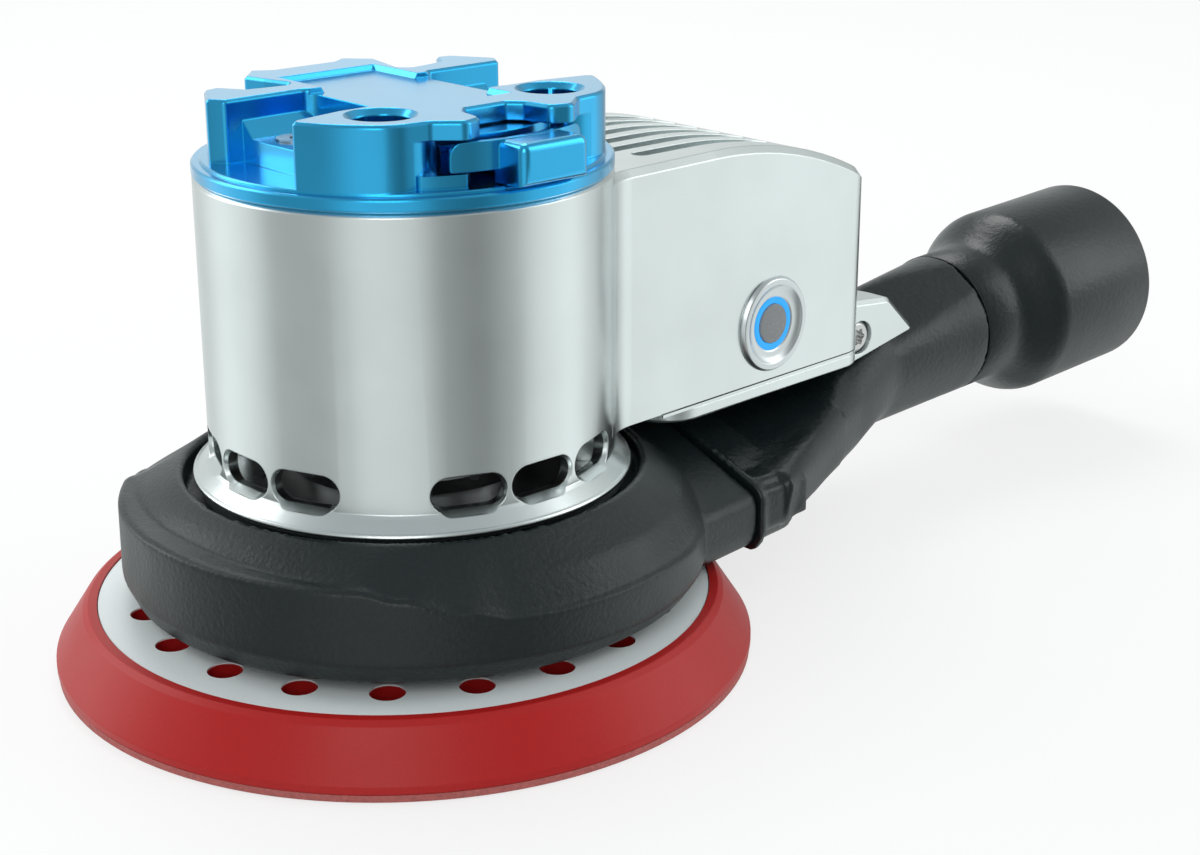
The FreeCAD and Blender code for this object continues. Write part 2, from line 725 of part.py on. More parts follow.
def bearing_plate():
    """Closes the motor from below and carries the lower bearing."""
    seat_r = LOWER_BEARING_R + SEAT_GAP
    solid = turned(
        [
            (seat_r, BODY_BOTTOM_Z),
            (CHAMBER_R - SEAT_GAP, BODY_BOTTOM_Z),
            (CHAMBER_R - SEAT_GAP, BODY_BOTTOM_Z + 3.8),
            (seat_r + 6.0, BODY_BOTTOM_Z + 3.8),
            (seat_r + 3.4, BODY_BOTTOM_Z + 5.2),
            (seat_r + 3.4, LOWER_BEARING_TOP + 1.2),
            (LOWER_BEARING_R - 2.0, LOWER_BEARING_TOP + 1.2),
            (LOWER_BEARING_R - 2.0, LOWER_BEARING_TOP + 0.1),
            (seat_r, LOWER_BEARING_TOP + 0.1),
        ]
    )
    return solid.cut(around(plate_screw(0.15), 4, 45))


def plate_screw(extra=0.0):
    """Screw from below through the bearing plate into a boss of the housing."""
    head_top = BODY_BOTTOM_Z + FRAME_HEAD_T + extra / 3
    head = disc(FRAME_HEAD_R + extra, BODY_BOTTOM_Z - extra, head_top, SCREW_BOSS_CIRCLE_R)
    shank = disc(FRAME_SCREW_R + extra / 3, BODY_BOTTOM_Z, BODY_BOTTOM_Z + FRAME_SCREW_L,
                 SCREW_BOSS_CIRCLE_R)
    return head.fuse(shank).removeSplitter()


# Housing
def vent_outline(radius, half_w, half_h):
    """Stadium outline, standing on the radius given."""
    arc_x = half_w - half_h
    z = SLOT_MID_Z
    corners = [V(radius, -arc_x, z - half_h), V(radius, arc_x, z - half_h),
               V(radius, arc_x, z + half_h), V(radius, -arc_x, z + half_h)]
    return Part.Wire([
        Part.LineSegment(corners[0], corners[1]).toShape(),
        Part.Arc(corners[1], V(radius, half_w, z), corners[2]).toShape(),
        Part.LineSegment(corners[2], corners[3]).toShape(),
        Part.Arc(corners[3], V(radius, -half_w, z), corners[0]).toShape(),
    ])


def vent_cutters():
    half_w = VENT_W / 2
    half_h = VENT_H / 2
    through = Part.Face(vent_outline(CHAMBER_R - 4, half_w, half_h)).extrude(V(FAR / 10, 0, 0))
    bevel = Part.makeLoft(
        [vent_outline(BODY_R - 1.3, half_w, half_h),
         vent_outline(BODY_R + 0.6, half_w + 1.2 * VENT_BEVEL, half_h + 1.2 * VENT_BEVEL)],
        True, True)
    cutter = through.fuse(bevel)
    cutters = []
    for place in VENT_PLACES:
        copy = cutter.copy()
        copy.rotate(V(0, 0, 0), Z_AXIS, place * VENT_STEP)
        cutters.append(copy)
    return cutters


def box_form():
    """The control box with the concave blends that run into the round body."""
    slant = math.hypot(1, BOX_TAPER)
    normal = V(BOX_TAPER / slant, 1 / slant, 0)
    along = V(1 / slant, -BOX_TAPER / slant, 0)
    off = BOX_ROOT_HALF_W / slant
    reach = math.sqrt((BODY_R + BOX_BLEND_R) ** 2 - (off + BOX_BLEND_R) ** 2)
    blend = normal * (off + BOX_BLEND_R) + along * reach
    root = blend * (BODY_R / (BODY_R + BOX_BLEND_R))
    leave = blend - normal * BOX_BLEND_R
    to_middle = ((root + leave) * 0.5 - blend).normalize()
    corner_x = BOX_END_X - BOX_CORNER_R
    corner = V(corner_x, (off - BOX_CORNER_R - normal.x * corner_x) / normal.y, 0)
    corner_start = corner + normal * BOX_CORNER_R
    corner_end = corner + X_AXIS * BOX_CORNER_R
    corner_middle = corner + (normal + X_AXIS).normalize() * BOX_CORNER_R
    half = [root, blend + to_middle * BOX_BLEND_R, leave, corner_start, corner_middle, corner_end]
    up = [V(point.x, point.y, SHELL_BOTTOM_Z) for point in half]
    down = [V(point.x, -point.y, SHELL_BOTTOM_Z) for point in half]
    centre = V(0, 0, SHELL_BOTTOM_Z)
    wire = Part.Wire([
        Part.LineSegment(centre, up[0]).toShape(),
        Part.Arc(up[0], up[1], up[2]).toShape(),
        Part.LineSegment(up[2], up[3]).toShape(),
        Part.Arc(up[3], up[4], up[5]).toShape(),
        Part.LineSegment(up[5], down[5]).toShape(),
        Part.Arc(down[5], down[4], down[3]).toShape(),
        Part.LineSegment(down[3], down[2]).toShape(),
        Part.Arc(down[2], down[1], down[0]).toShape(),
        Part.LineSegment(down[0], centre).toShape(),
    ])
    solid = Part.Face(wire).extrude(V(0, 0, BODY_TOP_Z - SHELL_BOTTOM_Z)).cut(above_crown(0))
    rim = []
    for edge in solid.Edges:
        ends = [vertex.Point for vertex in edge.Vertexes]
        at_top = all(abs(point.z - box_crown(point.x)) < 0.01 for point in ends)
        if at_top and all(math.hypot(point.x, point.y) > BODY_R - 0.1 for point in ends):
            crosswise = abs(ends[0].x - ends[1].x) < 0.01
            if not crosswise or ends[0].x > BOX_END_X - 0.1:
                rim.append(edge)
    return solid.makeChamfer(BOX_EDGE, rim)


def round_body():
    """Round body with its conical skirt, bright lip and foot."""
    lip_bottom = SKIRT_LIP_Z - SKIRT_LIP_H
    return turned(
        [
            (0, BODY_BOTTOM_Z),
            (SKIRT_FOOT_R, BODY_BOTTOM_Z),
            (SKIRT_FOOT_R, lip_bottom - 0.4),
            (SKIRT_R - 0.5, lip_bottom),
            ((SKIRT_R, lip_bottom + SKIRT_LIP_H / 2), (SKIRT_R - 0.5, SKIRT_LIP_Z)),
            (BODY_R + 0.5, SKIRT_TOP_Z - 0.5),
            (BODY_R, SKIRT_TOP_Z),
            (BODY_R, BODY_TOP_Z - BODY_EDGE),
            (BODY_R - BODY_EDGE, BODY_TOP_Z),
            (0, BODY_TOP_Z),
        ]
    )


def body_hollow():
    """Inside of the round body: fan chamber, stator seat and the space above it."""
    top = BODY_TOP_Z - BODY_TOP_WALL
    hollow = turned(
        [
            (0, BODY_BOTTOM_Z - 1),
            (CHAMBER_R, BODY_BOTTOM_Z - 1),
            (CHAMBER_R, CHAMBER_TOP_Z),
            (STATOR_R + SEAT_GAP, CHAMBER_TOP_Z + 2.5),
            (STATOR_R + SEAT_GAP, STATOR_TOP_Z),
            (UPPER_CHAMBER_R, STATOR_TOP_Z),
            (UPPER_CHAMBER_R, top),
            (0, top),
        ]
    )
    boss = ring(BEARING_BOSS_R, UPPER_BEARING_R + SEAT_GAP, UPPER_BEARING_Z, top + 1)
    return hollow.cut(boss)


def grooves():
    """Cooling grooves on the box's top: level cutters that run out of the falling crown."""
    cutters = []
    for i in range(GROOVES):
        y = (i - (GROOVES - 1) / 2) * GROOVE_PITCH
        start = GROOVE_START_X + 0.012 * y * y
        slot = block(start, BOX_END_X, y - GROOVE_W / 2, y + GROOVE_W / 2, GROOVE_FLOOR_Z, BODY_TOP_Z + 5)
        nose = disc(GROOVE_W / 2, GROOVE_FLOOR_Z, BODY_TOP_Z + 5, start, y)
        cutters.append(slot.fuse(nose).removeSplitter())
    return cutters


def cover_screw_places():
    """Four places inside the cover's corners."""
    near = COVER_ROOT_X + COVER_SCREW_INSET
    far = BOX_END_X - COVER_SCREW_INSET
    places = []
    for x in (near, far):
        y = box_half_width(x) - COVER_SCREW_INSET
        places += [(x, -y), (x, y)]
    return places


def saddle_outline(grow=0.0):
    """Side view of a cheek, grown all round by a clearance."""
    slope = (SADDLE_ROOT_TOP_Z - SADDLE_TOP_Z) / (SADDLE_TOP_X - SADDLE_ROOT_X)
    return [
        (SADDLE_ROOT_X - grow, SHELL_BOTTOM_Z - grow),
        (SADDLE_FOOT_X - grow, SHELL_BOTTOM_Z - grow),
        (SADDLE_FOOT_X - grow, SADDLE_FOOT_Z - grow),
        (SADDLE_TIP_X - 1.0, SADDLE_TIP_Z - 0.9 - grow),
        (SADDLE_TIP_X + grow, SADDLE_TIP_Z),
        (SADDLE_TOP_X + grow, SADDLE_TOP_Z + grow * (1 + slope)),
        (SADDLE_ROOT_X - grow, SADDLE_ROOT_TOP_Z + grow),
    ]


def saddle():
    """Visor and cheeks, cast in one piece with the end of the control box."""
    solid = side_prism(saddle_outline(), -SADDLE_HALF_W, SADDLE_HALF_W)
    nose = [edge for edge in solid.Edges
            if edge.BoundBox.ZMin > SADDLE_TOP_Z - 0.01 and abs(edge.BoundBox.XMin - SADDLE_TOP_X) < 0.01
            and edge.BoundBox.YLength > SADDLE_HALF_W]
    solid = solid.makeFillet(SADDLE_NOSE_R, nose)
    flank = []
    for edge in solid.Edges:
        box = edge.BoundBox
        at_side = box.YLength < 0.01 and abs(abs(box.YMax) - SADDLE_HALF_W) < 0.01
        if at_side and box.ZMin > SADDLE_TIP_Z - 0.01 and box.XLength > 0.5:
            flank.append(edge)
    solid = solid.makeChamfer(SADDLE_EDGE, flank)
    inside = SADDLE_HALF_W - CHEEK_T
    ceiling = [
        (BOX_END_X, 0),
        (FAR, 0),
        (FAR, SADDLE_TOP_Z - VISOR_T),
        (SADDLE_TOP_X, SADDLE_TOP_Z - VISOR_T),
        (BOX_END_X, SADDLE_ROOT_TOP_Z - VISOR_T),
    ]
    front = disc(VISOR_CURVE_R, 0, FAR, VISOR_FRONT_X + VISOR_CURVE_R)
    front = front.common(block(0, FAR, -inside, inside, 0, FAR))
    return solid.cut([side_prism(ceiling, -inside, inside), front])


def lug_screw(sign, extra=0.0):
    """Screw through a cheek of the saddle into the boss of the duct."""
    face = SADDLE_HALF_W - LUG_SCREW_SINK
    sink = LUG_SCREW_SINK + 1 if extra else 0
    seat = face - LUG_SCREW_HEAD_T
    head = Part.makeCylinder(LUG_SCREW_HEAD_R + extra, LUG_SCREW_HEAD_T + extra + sink,
                             V(LUG_SCREW_X, seat - extra, LUG_SCREW_Z), Y_AXIS)
    shank = Part.makeCylinder(LUG_SCREW_R + extra / 2, LUG_SCREW_L,
                              V(LUG_SCREW_X, seat - LUG_SCREW_L, LUG_SCREW_Z), Y_AXIS)
    solid = head.fuse(shank).removeSplitter()
    if sign < 0:
        solid.rotate(V(LUG_SCREW_X, 0, LUG_SCREW_Z), X_AXIS, 180)
    return solid


def housing():
    underside = block(0, UNDERCUT_X, -FAR, FAR, 0, UNDERCUT_Z)
    solid = round_body().fuse(box_form().cut(underside))
    cavity = box_plan(BODY_R + BOX_WALL, BOX_WALL, SHELL_BOTTOM_Z - 1, BODY_TOP_Z)
    cavity = cavity.cut(above_crown(BOX_TOP_WALL))
    bosses = [disc(SCREW_BOSS_R, SHELL_BOTTOM_Z, SHELL_BOTTOM_Z + BOX_BOSS_H, x, y)
              for x, y in cover_screw_places()]
    cavity = cavity.cut(bosses)
    solid = solid.cut([body_hollow(), cavity])
    boss = disc(SCREW_BOSS_R, BODY_BOTTOM_Z + 3.8, BODY_BOTTOM_Z + 3.8 + SCREW_BOSS_H, SCREW_BOSS_CIRCLE_R)
    webbed = boss.fuse(block(SCREW_BOSS_CIRCLE_R, CHAMBER_R + 0.5, -SCREW_BOSS_R, SCREW_BOSS_R,
                             BODY_BOTTOM_Z + 3.8, BODY_BOTTOM_Z + 3.8 + SCREW_BOSS_H))
    solid = solid.multiFuse(around(webbed, 4, 45) + [saddle()]).removeSplitter()
    port_start = UPPER_CHAMBER_R - 4
    port_z = STATOR_TOP_Z + WIRE_PORT_RISE
    port = Part.makeCylinder(WIRE_PORT_R, BODY_R + BOX_WALL + 1 - port_start,
                             V(port_start, 0, port_z), X_AXIS)
    plug = Part.makeCylinder(PLUG_R + 0.1, 2 * BOX_WALL, V(BOX_END_X - 1.5 * BOX_WALL, 0, PLUG_Z), X_AXIS)
    cutters = vent_cutters() + grooves() + around(plate_screw(0.05), 4, 45)
    cutters += [port, plug, face_frame(disc(BEZEL_SEAT_R, -BUTTON_DEPTH, 2))]
    cutters += [disc(SMALL_SCREW_R + SEAT_GAP, 0, SHELL_BOTTOM_Z + BOX_BOSS_H - 2, x, y)
                for x, y in cover_screw_places()]
    cutters += [lug_screw(sign, 0.1) for sign in (-1, 1)]
    cutters += [disc(PLATE_SCREW_R + SEAT_GAP, BODY_TOP_Z - BODY_TOP_WALL - 1, FAR, x, y)
                for x, y in plate_screw_places()]
    cutters += around(shroud_screw(0.05), 4)
    return solid.cut(cutters)


BEZEL_SEAT_R = BEZEL_R - 2.2


def box_bottom_cover():
    solid = box_plan(COVER_ROOT_X, 0, BOX_BOTTOM_Z, COVER_TOP_Z)
    near = upright_edges(solid, lambda x, y: x < COVER_ROOT_X + 1)
    solid = solid.makeFillet(COVER_ROOT_R, near)
    below = [edge for edge in solid.Edges if edge.BoundBox.ZMax < BOX_BOTTOM_Z + 0.01]
    solid = solid.makeFillet(0.7, below)
    return solid.cut([cover_screw(x, y, 0.1) for x, y in cover_screw_places()])


def cover_screw(x, y, extra=0.0):
    head = disc(SMALL_HEAD_R + extra, BOX_BOTTOM_Z - extra, BOX_BOTTOM_Z + SMALL_HEAD_T + extra, x, y)
    shank = disc(SMALL_SCREW_R + extra, BOX_BOTTOM_Z, SHELL_BOTTOM_Z + BOX_BOSS_H - 3, x, y)
    return head.fuse(shank).removeSplitter()


def box_gasket():
    outer = box_plan(COVER_ROOT_X + 0.4, 0.4, COVER_TOP_Z, SHELL_BOTTOM_Z)
    outer = outer.makeFillet(COVER_ROOT_R, upright_edges(outer, lambda x, y: x < COVER_ROOT_X + 1))
    inner = box_plan(COVER_ROOT_X + BOX_WALL, BOX_WALL, 0, FAR)
    inner = inner.makeFillet(COVER_ROOT_R - 2, upright_edges(inner, lambda x, y: x < COVER_ROOT_X + 4))
    pads = [disc(SCREW_BOSS_R, COVER_TOP_Z, SHELL_BOTTOM_Z, x, y) for x, y in cover_screw_places()]
    solid = outer.cut(inner).multiFuse(pads).removeSplitter()
    return solid.cut([disc(SMALL_SCREW_R + 0.15, 0, FAR, x, y) for x, y in cover_screw_places()])


# Power button group, made about Z with z = 0 at the box's face
def button_bezel():
    steps = [
        (LIGHT_R + SEAT_GAP, -2.5),
        (BEZEL_SEAT_R - SEAT_GAP, -2.5),
        (BEZEL_SEAT_R - SEAT_GAP, 0.05),
        (BEZEL_R, 0.05),
        ((BEZEL_R - 0.4, BEZEL_LIP), (BEZEL_R - 1.6, BEZEL_LIP)),
        ((BEZEL_R - 2.6, 0.35), (LIGHT_R + 0.9, 0.2)),
        (LIGHT_R + SEAT_GAP, 0.2),
    ]
    return face_frame(turned(steps))


def button_light_ring():
    return face_frame(ring(LIGHT_R, LIGHT_R - LIGHT_W, -2.5, 0.15))


BUTTON_BOTTOM = -2.4
BUTTON_WELL = 2.3        # free depth below the button


def power_button():
    solid = disc(BUTTON_R, BUTTON_BOTTOM, 0.4)
    top = [edge for edge in solid.Edges if edge.BoundBox.ZMin > 0.3]
    return face_frame(solid.makeFillet(0.3, top))


def button_body():
    """Sealed switch barrel behind the bezel."""
    solid = disc(BEZEL_SEAT_R - 0.3, -BUTTON_DEPTH - 6, -2.5)
    return face_frame(solid.cut(disc(BUTTON_R + RUN_GAP, BUTTON_BOTTOM - BUTTON_WELL, 0)))


def button_spring():
    """Conical disc spring at its pressed height, on the floor of the switch barrel."""
    floor = BUTTON_BOTTOM - BUTTON_WELL
    top = floor + BUTTON_WELL - BUTTON_TRAVEL - 0.1
    cone = turned(
        [
            (BUTTON_R / 3, top - BUTTON_SPRING_T),
            (BUTTON_R / 3, top),
            (BUTTON_R - 0.4, floor + BUTTON_SPRING_T),
            (BUTTON_R - 0.4, floor),
        ]
    )
    return face_frame(cone)


# Connector on the far end of the control box
def along_x(shape, x, z):
    """Lay a shape made about Z along +X from the place given."""
    placed = shape.copy()
    placed.rotate(V(0, 0, 0), Y_AXIS, 90)
    placed.translate(V(x, 0, z))
    return placed


def connector_shell():
    solid = turned(
        [
            (0, -BOX_WALL - 6),
            (PLUG_R, -BOX_WALL - 6),
            (PLUG_R, 0.1),
            (PLUG_R + 1.6, 0.1),
            (PLUG_R + 1.6, 2.0),
            (PLUG_R, 2.4),
            (PLUG_R, PLUG_REACH - 0.6),
            (PLUG_R - 0.6, PLUG_REACH),
            (PLUG_BORE_R, PLUG_REACH),
            (PLUG_BORE_R, 3.0),
            (0, 3.0),
        ]
    )
    return along_x(solid, BOX_END_X, PLUG_Z)


def connector_insert():
    solid = disc(PLUG_BORE_R - SEAT_GAP, 3.0, 6.0)
    pin = disc(PLUG_PIN_R + 0.02, 2, 7, PLUG_PIN_CIRCLE_R)
    return along_x(solid.cut(around(pin, PLUG_PINS)), BOX_END_X, PLUG_Z)


def connector_pins():
    pin = disc(PLUG_PIN_R, 3.0, PLUG_REACH - 2.5, PLUG_PIN_CIRCLE_R)
    return along_x(Part.makeCompound(around(pin, PLUG_PINS)), BOX_END_X, PLUG_Z)


def connector_nut():
    flats = [(PLUG_NUT_R * math.cos(math.radians(60 * i)), PLUG_NUT_R * math.sin(math.radians(60 * i)))
             for i in range(6)]
    z1 = -BOX_WALL - 0.05
    solid = prism(flats, z1 - PLUG_NUT_T, z1).cut(disc(PLUG_R + SEAT_GAP, -FAR, FAR))
    return along_x(solid, BOX_END_X, PLUG_Z)


# Control board
def control_board():
    half = BOARD_W / 2
    solid = block(BOARD_X0, BOARD_END_X, -half, half, BOARD_Z, BOARD_Z + BOARD_T)
    return solid.cut([disc(STANDOFF_R - 1.1, 0, FAR, x, y) for x, y in standoff_places()])


def standoff_places():
    half = BOARD_W / 2 - STANDOFF_INSET
    ends = (BOARD_X0 + STANDOFF_INSET, BOARD_END_X - STANDOFF_INSET)
    return [(x, y) for x in ends for y in (-half, half)]


def board_standoffs():
    posts = []
    for x, y in standoff_places():
        pin = disc(STANDOFF_R - 1.2, BOARD_Z, BOARD_Z + 1.5 * BOARD_T, x, y)
        posts.append(disc(STANDOFF_R, COVER_TOP_Z, BOARD_Z, x, y).fuse(pin).removeSplitter())
    return Part.makeCompound(posts)


def capacitors():
    top = BOARD_Z + BOARD_T
    x = BOARD_X0 + 2.4 * CAPACITOR_R
    return Part.makeCompound(
        [disc(CAPACITOR_R, top, top + CAPACITOR_H, x, sign * CAPACITOR_PITCH / 2) for sign in (-1, 1)])


def power_switches():
    """Two columns of flat packages near the far end of the board."""
    top = BOARD_Z + BOARD_T
    pitch = SWITCH_W + 1.0
    rows = SWITCHES // 2
    chips = []
    for i in range(SWITCHES):
        x = BOARD_END_X - STANDOFF_INSET - 2.2 * pitch + pitch * (i % 2)
        y = (i // 2 - (rows - 1) / 2) * 1.2 * SWITCH_L - SWITCH_L / 2
        chips.append(block(x, x + SWITCH_W, y, y + SWITCH_L, top, top + SWITCH_T))
    return Part.makeCompound(chips)


# Quick-change plate
def truss_half_outline():
    """Right half of the truss's top outline, from the front middle round to the rear."""
    return [
        (0.0, -22.0), (4.4, -22.0), (6.4, -24.2), (7.4, -29.4), (10.8, -30.2),
        (12.6, -27.4), (14.8, -26.2), (17.6, -27.6), (20.4, -30.0),
        (25.9, -25.6), (30.4, -20.2), (33.8, -14.8), (30.2, -12.2), (20.8, -9.2), (12.8, -8.8),
        (11.6, -7.6), (11.6, 5.2), (27.2, 7.2), (30.6, 8.2), (31.2, 9.8), (29.9, 12.9),
        (28.0, 16.2), (25.8, 18.8), (24.0, 17.0), (21.8, 14.2), (13.0, 10.8), (11.6, 12.2),
        (11.6, 23.0), (13.2, 24.8), (13.2, 27.4), (11.0, 29.4), (7.6, 29.4), (6.0, 27.0), (0.0, 27.0),
    ]


def truss_outline():
    right = truss_half_outline()
    left = [(-x, y) for x, y in reversed(right) if x > 0]
    return right + left


def plate_screw_places():
    return [(sign * PLATE_SCREW_X, PLATE_SCREW_Y) for sign in (-1, 1)]


def bolt_places():
    leg = BOLT_CIRCLE_R * math.cos(math.radians(45))
    return [(-leg, -leg), (leg, -leg)]


def web_block(sign):
    """Low web between a side arm and the bolt boss, with a ramp up to the arm."""
    y1 = 6.4
    side = [(-7.0, DISC_TOP_Z), (y1, DISC_TOP_Z), (y1, ARM_WEB_Z + 2.6), (y1 - 2.2, ARM_WEB_Z),
            (-4.6, ARM_WEB_Z), (-7.0, ARM_WEB_Z - 2.4)]
    corners = [V(10.5, y, z) for y, z in side]
    solid = Part.Face(Part.makePolygon(corners + corners[:1])).extrude(V(16.5, 0, 0))
    if sign < 0:
        solid = solid.mirror(V(0, 0, 0), X_AXIS)
    return solid


def quick_change_plate():
    truss = prism(truss_outline(), DISC_TOP_Z, TRUSS_TOP_Z).common(disc(TRUSS_EDGE_R, 0, FAR))
    top_edges = [edge for edge in truss.Edges if edge.BoundBox.ZMin > TRUSS_TOP_Z - 0.01]
    truss = truss.makeChamfer(0.5, top_edges)
    room = block(-STRIP_ROOM_HALF_W, STRIP_ROOM_HALF_W, -FAR, STRIP_ROOM_Y, 0, STRIP_ROOM_TOP_Z)
    truss = truss.cut(room)
    lip = disc(LIP_R, LIP_Z - LIP_T, LIP_Z).common(block(-LIP_HALF_W, LIP_HALF_W, -FAR, -18, 0, FAR))
    step = disc(PLATE_DISC_R, BODY_TOP_Z, DISC_TOP_Z).fuse(disc(PLATE_STEP_R, DISC_TOP_Z, STEP_TOP_Z))
    bar = ring(STRIP_R, STRIP_R - BAR_W, DISC_TOP_Z, BAR_TOP_Z).common(wedge(BAR_START, BAR_END))
    solid = step.multiFuse([truss, lip, bar, web_block(-1), web_block(1)]).removeSplitter()
    pocket = block(-POCKET_HALF_W, POCKET_HALF_W, POCKET_FRONT_Y, POCKET_REAR_Y,
                   TRUSS_TOP_Z - POCKET_DEPTH, FAR)
    cavity = block(-CAVITY_HALF_W, CAVITY_HALF_W, -FAR, CAVITY_BACK_Y, STEP_TOP_Z, LIP_Z - LIP_T)
    cutters = [pocket, cavity]
    for x, y in bolt_places():
        cutters.append(disc(BOLT_HOLE_R, TRUSS_TOP_Z - BOLT_HOLE_DEPTH, FAR, x, y))
    for x, y in plate_screw_places():
        cutters.append(disc(PLATE_SCREW_HEAD_R + 0.1, ARM_WEB_Z - 2.2, FAR, x, y))
        cutters.append(disc(PLATE_SCREW_R + 0.1, 0, FAR, x, y))
    return solid.cut(cutters)


def wedge(start, end):
    """Upright wedge between two angles, to cut a ring segment out."""
    turn = (end - start) / 3
    points = [(0, 0)]
    for i in range(4):
        angle = math.radians(start + i * turn)
        points.append((FAR * math.cos(angle), FAR * math.sin(angle)))
    return prism(points, 0, FAR)


CAVITY_BACK_Y = STEM_BACK_Y + RELEASE_TRAVEL + 4.0


def quick_change_screws():
    screws = []
    seat = ARM_WEB_Z - 2.2
    for x, y in plate_screw_places():
        head = disc(PLATE_SCREW_HEAD_R, seat, seat + 1.8, x, y)
        shank = disc(PLATE_SCREW_R, BODY_TOP_Z - BODY_TOP_WALL + 0.2, seat, x, y)
        key = [(x + 1.4 * math.cos(math.radians(60 * i)), y + 1.4 * math.sin(math.radians(60 * i)))
               for i in range(6)]
        screws.append(head.fuse(shank).removeSplitter().cut(prism(key, seat + 0.8, seat + 3)))
    return Part.makeCompound(screws)


# Release button: a rounded block, its guide stem and the curved strip at its back
def release_button():
    z0 = STEP_TOP_Z + RUN_GAP
    solid = block(RELEASE_X0, RELEASE_X1, RELEASE_FRONT_Y, RELEASE_BACK_Y, z0, RELEASE_TOP_Z)
    outer = [edge for edge in solid.Edges
             if edge.BoundBox.YMin < RELEASE_FRONT_Y + 0.1 or edge.BoundBox.ZMin > RELEASE_TOP_Z - 0.1]
    solid = solid.makeFillet(RELEASE_EDGE, outer)
    middle = (RELEASE_X0 + RELEASE_X1) / 2
    stem = block(middle - STEM_W / 2, middle + STEM_W / 2, RELEASE_BACK_Y - 1, STEM_BACK_Y, z0, z0 + STEM_H)
    strip = ring(STRIP_R, STRIP_R - STRIP_T, STRIP_Z0, STRIP_Z1).common(wedge(STRIP_START, STRIP_END))
    corners = [edge for edge in strip.Edges
               if edge.BoundBox.ZMin > STRIP_Z1 - 0.01 and edge.Curve.TypeId == "Part::GeomLine"]
    strip = strip.makeFillet(STRIP_CORNER_R, corners)
    bore = Part.makeCylinder(SPRING_BORE_R, STEM_BORE_L,
                             V(middle, STEM_BACK_Y - STEM_BORE_L, z0 + STEM_H / 2), Y_AXIS)
    return solid.multiFuse([stem, strip]).removeSplitter().cut(bore)


def release_spring():
    """Coil at its pressed length, seated on the back of the cavity and reaching into the stem."""
    length = RELEASE_TRAVEL + STEM_BORE_L + 1.3
    coil = coil_spring(SPRING_R, SPRING_WIRE_R, length, 6)
    coil.rotate(V(0, 0, 0), X_AXIS, 90)
    middle = (RELEASE_X0 + RELEASE_X1) / 2
    coil.translate(V(middle, CAVITY_BACK_Y, STEP_TOP_Z + RUN_GAP + STEM_H / 2))
    return coil


# Dust shroud
def tilted_ring(radius, z, tilt):
    """Circle about the motor axis whose plane dips towards +X."""
    circle = Part.Circle(V(0, 0, z), Z_AXIS, radius).toShape()
    circle.rotate(V(0, 0, z), Y_AXIS, tilt)
    return Part.Wire(circle)


def shroud_form(inset):
    """Wall and dome of the shroud, drawn in by the inset."""
    half = CREASE_TILT / 2
    wall_top = CREASE_Z - inset * 0.6
    dome_mid_r = CREASE_R - 0.38 * (CREASE_R - SHROUD_RIM_R)
    dome_mid_z = CREASE_Z + 0.62 * (SHROUD_RIM_Z - CREASE_Z)
    rings = [
        tilted_ring(SHROUD_BOTTOM_R - inset, SHROUD_BOTTOM_Z, 0),
        tilted_ring(SHROUD_MAX_R - 2.3 - inset, SHROUD_BOTTOM_Z + 1.7, 0),
        tilted_ring(SHROUD_MAX_R - 0.6 - inset, SHROUD_BOTTOM_Z + 4.6, half * 0.3),
        tilted_ring(CREASE_R - inset, wall_top, CREASE_TILT),
        tilted_ring(CREASE_R - 1.0 - inset, wall_top + 2.4, CREASE_TILT * 0.9),
        tilted_ring(dome_mid_r - inset * 0.6, dome_mid_z - inset * 0.8, half * 0.7),
        tilted_ring(SHROUD_RIM_R - inset * 0.2, SHROUD_RIM_Z - inset, 0),
    ]
    return Part.makeLoft(rings, True, True)


def channel_outline(x, inset):
    """Cross-section of the stub: flat floor, round sides and a roof that falls to each side."""
    half = STUB_HALF_W + STUB_TAPER * (STUB_END_X - x) - inset
    floor = STUB_BOTTOM_Z + inset
    shoulder = STUB_SHOULDER_Z - inset
    roof_half = STUB_ROOF_HALF_W
    roof = STUB_ROOF_Z - inset
    side_r = STUB_SIDE_R - 0.6 * inset
    drop = max(3.2 - inset, 0.8)
    knee = 1 - math.sqrt(0.5)
    right = [
        ("line", (half - side_r, floor)),
        ("arc", (half - side_r * knee, floor + side_r * knee), (half, floor + side_r)),
        ("line", (half, shoulder - drop)),
        ("arc", (half - 0.7, shoulder - drop * 0.3), (half - STUB_SHOULDER_IN, shoulder)),
        ("line", (roof_half, roof)),
    ]
    points = [V(x, -(half - side_r), floor)]
    edges = []

    def line_to(end):
        edges.append(Part.LineSegment(points[-1], end).toShape())
        points.append(end)

    def arc_to(middle, end):
        edges.append(Part.Arc(points[-1], middle, end).toShape())
        points.append(end)

    for step in right:
        if step[0] == "line":
            line_to(V(x, step[1][0], step[1][1]))
        else:
            arc_to(V(x, step[1][0], step[1][1]), V(x, step[2][0], step[2][1]))
    line_to(V(x, -roof_half, roof))
    line_to(V(x, -(half - STUB_SHOULDER_IN), shoulder))
    arc_to(V(x, -(half - 0.7), shoulder - drop * 0.3), V(x, -half, shoulder - drop))
    line_to(V(x, -half, floor + side_r))
    arc_to(V(x, -(half - side_r * knee), floor + side_r * knee), points[0])
    return Part.Wire(edges)


def channel(x0, x1, inset):
    return Part.makeLoft([channel_outline(x0, inset), channel_outline(x1, inset)], True, True)


def shroud_screw(extra=0.0):
    z0 = BODY_BOTTOM_Z - SHROUD_FLANGE_T
    head = disc(FRAME_HEAD_R + extra, z0 - FRAME_HEAD_T, z0 + extra, SHROUD_SCREW_CIRCLE_R)
    shank = disc(FRAME_SCREW_R + extra, z0, BODY_BOTTOM_Z + SHROUD_FLANGE_T, SHROUD_SCREW_CIRCLE_R)
    return head.fuse(shank).removeSplitter()


